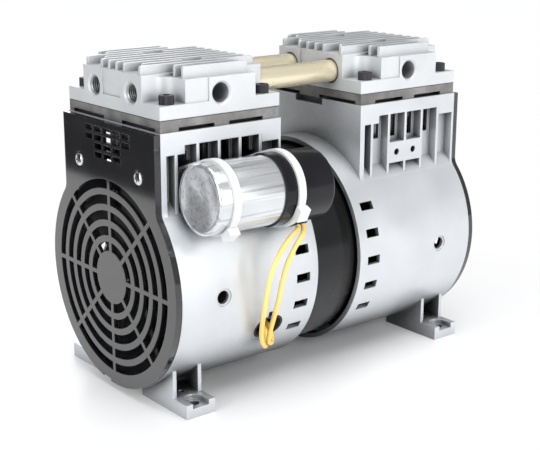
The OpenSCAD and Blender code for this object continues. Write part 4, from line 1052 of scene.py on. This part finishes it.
@dataclass
class CoverScrews:
    """Cross-recessed pan-head screws of the fan covers."""

    head_d: float = 8.0
    head_h: float = 2.2
    shank_d: float = 4.0
    shank_l: float = 13.0
    tip: float = 0.5
    foot: Pair = (0.15, 0.1)
    dome: Sequence[Pair] = ((0.42, 1.0), (0.62, 0.95), (0.8, 0.84),
                                           (0.92, 0.66), (1.0, 0.4), (1.0, 0.0))
    slot: Pair = (0.85, 4.4)
    slot_depth: float = 1.15
    blade_h: float = 3.0
    seat_x: float = 118.8
    place: Pair = (32.0, 136.6)

    def model(self) -> Piece:
        """Models one screw at the origin, pointing out along X.

        Returns:
            The screw.
        """
        head_r = self.head_d / 2
        shank_r = self.shank_d / 2
        rise, step = self.foot
        outline = [(-self.shank_l, 0.0), (-self.shank_l, shank_r - self.tip),
                   (self.tip - self.shank_l, shank_r), (0.0, shank_r), (0.0, head_r - step),
                   (rise, head_r), *((self.head_h * x, head_r * r) for x, r in self.dome)]
        screw = Bench.lathe("cover_screw", outline, (0, 0, 0), 40)
        blade_x = self.head_h - self.slot_depth + self.blade_h / 2
        for y, z in (self.slot, self.slot[::-1]):
            Bench.cut(screw, Bench.block("blade", (self.blade_h, y, z), (blade_x, 0, 0)))
        Bench.smooth(screw, 30)
        return screw

    def build(self) -> None:
        """Places two screws on each cover."""
        screw = self.model()
        for side, sign, turn in (("left", -1, 180.0), ("right", 1, 0.0)):
            y, z = self.place
            copies = [Bench.copy_to(screw, (sign * self.seat_x, at, z), turned(turn))
                      for at in (-y, y)]
            piece = Bench.join(copies, f"{side}_pan_screws")
            dress(piece, Finishes.CHROME, "screw_chrome", f"{side}_cover_screws")
            LOG.info("%s cover screws placed", side)
        bpy.data.objects.remove(screw, do_unlink=True)


@dataclass
class PortThreads:
    """Helical threads inside the heads' end ports."""

    radius: float = 5.7
    sunk: float = 0.02
    depth: float = 0.8
    pitch: float = 1.34
    turns: int = 8
    steps: int = 36
    mouth_in: float = 0.8
    port_h: float = 11.4
    port_y: float = 19.5

    def model(self) -> Piece:
        """Winds one thread about the Z axis, from height zero down.

        Returns:
            The thread.
        """
        root = self.radius + self.sunk
        crest = self.radius - self.depth
        thread = Bench.wire("port_thread", [
            (root, 0, 0), (crest, 0, -self.pitch / 2), (root, 0, -self.pitch)])
        Bench.done()
        wind = thread.modifiers.new("wind", "SCREW")
        wind.axis = "Z"
        wind.steps = wind.render_steps = self.steps
        wind.iterations = self.turns
        wind.screw_offset = -self.pitch * MM
        wind.use_merge_vertices = True
        Bench.apply(thread)
        Bench.edit(thread)
        bpy.ops.mesh.normals_make_consistent(inside=True)
        Bench.done()
        Bench.smooth(thread, 50)
        return thread

    def build(self) -> None:
        """Threads the end ports of both heads."""
        thread = self.model()
        for side, sign in (("left", -1), ("right", 1)):
            low, high = cad_box(f"{side}_cylinder_head")
            mouth_x = (low if sign < 0 else high)[0] - sign * self.mouth_in
            out = Vector((sign, 0, 0)).to_track_quat("Z", "Y").to_matrix().to_4x4()
            copies = [Bench.copy_to(thread, (mouth_x, y * self.port_y, low[2] + self.port_h), out)
                      for y in (-1, 1)]
            piece = Bench.join(copies, f"{side}_port_threads")
            dress(piece, Finishes.THREAD, "bare_aluminium")
            LOG.info("%s ports threaded", side)
        bpy.data.objects.remove(thread, do_unlink=True)


@dataclass
class TransferTubes:
    """The two drawn tubes that join the heads."""

    wall: float = 1.2
    chamfer: float = 0.3

    def build(self) -> None:
        """Turns each tube at the size and place of its CAD node."""
        for name in ("front", "rear"):
            low, high = cad_box(f"{name}_transfer_tube")
            length = high[0] - low[0]
            r = (high[2] - low[2]) / 2
            bore = r - self.wall
            outline = [(0.0, bore), (0.0, r - self.chamfer), (self.chamfer, r),
                       (length - self.chamfer, r), (length, r - self.chamfer), (length, bore),
                       (0.0, bore)]
            y, z = ((a + b) / 2 for a, b in zip(low[1:], high[1:]))
            tube = Bench.lathe(f"{name}_drawn_tube", outline, (low[0], y, z), 64)
            Bench.smooth(tube, 35)
            dress(tube, Finishes.TUBE, "tube_gold", f"{name}_transfer_tube")
        LOG.info("transfer tubes turned")


@dataclass
class Capacitor:
    """The leaning can with its rounded end and the black cap over its terminals."""

    y: float = -70.27
    z: float = 129.9
    x0: float = -106.0
    lean: float = 1.7
    steps: int = 96
    can_r: float = 20.0
    can_l: float = 44.0
    can_round: float = 1.8
    can_dish: float = 0.25
    bead_in: Pair = (3.4, 3.0)
    can_seam: float = 1.6
    can_hidden: Pair = (22.0, 2.0)
    cap_r: float = 21.0
    cap_l: float = 37.0
    cap_round: float = 3.0
    cap_play: float = 0.06
    cap_lip: float = 0.25
    cap_dish: Pair = (0.5, 0.48)
    cap_wall: float = 2.0
    outlet_in: float = 19.0
    outlet_out: float = 0.5
    outlet_turn: float = 60.0
    outlet_size: Point = (9.0, 3.0, 5.0)
    outlet_round: float = 0.7

    @staticmethod
    def corner(along: float, radius: float, r: float, way: int) -> list[Pair]:
        """Gives the points of a rounded corner of a turned outline.

        Args:
            along: Where the end face is.
            radius: The outer radius.
            r: The corner's radius.
            way: -1 where the end face is at the lower end, 1 at the upper end.

        Returns:
            Points in the order of the outline.
        """
        turns = [math.radians(step * 15) for step in range(7)]
        points = [(along + way * (math.sin(t) - 1) * r, radius - r + r * math.cos(t))
                  for t in turns]
        return points if way > 0 else points[::-1]

    @staticmethod
    def turn_about(piece: Piece, at: Point, turn: Matrix) -> None:
        """Turns a piece about a point in millimetres."""
        there = Matrix.Translation(mm(*at))
        piece.matrix_world = there @ turn @ there.inverted()
        Bench.settle(piece)

    def finish(self, piece: Piece, finish: Finish, slot: str, node: str) -> None:
        """Tips a piece about the can's outer end and dresses it.

        Args:
            piece: The piece.
            finish: Its finish.
            slot: A material slot's name, which dress only checks for being given.
            node: The CAD node that it stands for.
        """
        self.turn_about(piece, (self.x0, self.y, self.z), turned(self.lean, "Y"))
        Bench.smooth(piece, 40)
        dress(piece, finish, slot, node)

    def can(self) -> None:
        """Turns the can with its rounded end."""
        r = self.can_r
        length, chamfer = self.can_hidden
        inner = self.can_l + length
        foot, top = (r - inset for inset in self.bead_in)
        outline = [(self.can_dish, 0.0), (self.can_dish, foot), (0.0, top),
                   *self.corner(0.0, r, self.can_round, -1), (self.can_l - self.can_seam, r),
                   (inner - chamfer, r), (inner, r - chamfer), (inner, 0.0)]
        can = Bench.lathe("can_shell", outline, (self.x0, self.y, self.z), self.steps)
        self.finish(can, Finishes.CAN, "can_aluminium", "capacitor_can")

    def cap(self) -> None:
        """Turns the cap, open towards the can, with its flat lead outlet."""
        r, end = self.cap_r, self.cap_l
        bore = self.can_r + self.cap_play
        dish, dish_foot = (r * share for share in self.cap_dish)
        sunk, inner = end - self.cap_lip, end - self.cap_wall
        outline = [(0.0, bore), (0.0, r - self.cap_lip), (self.cap_lip, r),
                   *self.corner(end, r, self.cap_round, 1), (end, dish), (sunk, dish_foot),
                   (sunk, 0.0), (inner, 0.0), (inner, bore), (0.0, bore)]
        cap_x = self.x0 + self.can_l
        cap = Bench.lathe("cap_shell", outline, (cap_x, self.y, self.z), self.steps)
        outlet = Bench.block("outlet", self.outlet_size,
                             (cap_x + end - self.outlet_in, self.y - r - self.outlet_out, self.z))
        self.turn_about(outlet, (0, self.y, self.z), turned(self.outlet_turn, "X"))
        Bench.bevel(outlet, self.outlet_round, 3)
        cap = Bench.join([cap, outlet], "cap_shell")
        self.finish(cap, Finishes.CAP, "cap_plastic", "capacitor_cap")

    def build(self) -> None:
        """Makes can and cap."""
        self.can()
        self.cap()
        LOG.info("capacitor made")


class NodeFinishes:
    """Gives the CAD nodes their finishes."""

    def build(self) -> None:
        """Gives each CAD node the finish whose name fits it best."""
        by_name = {name: finish for finish, names in Finishes.PLAN for name in names.split()}
        for name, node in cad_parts.items():
            dress(node, by_name[max((key for key in by_name if key in name), key=len)])
        LOG.info("%d nodes finished", len(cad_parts))


def main() -> None:
    """Builds the scene, piece by piece."""
    logging.basicConfig(level=logging.INFO)
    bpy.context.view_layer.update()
    Studio().build()
    CapacitorLeads().build()
    NodeFinishes().build()
    HeadScrews().build()
    CoverScrews().build()
    PortThreads().build()
    TransferTubes().build()
    Capacitor().build()


if __name__ == "__main__":
    main()
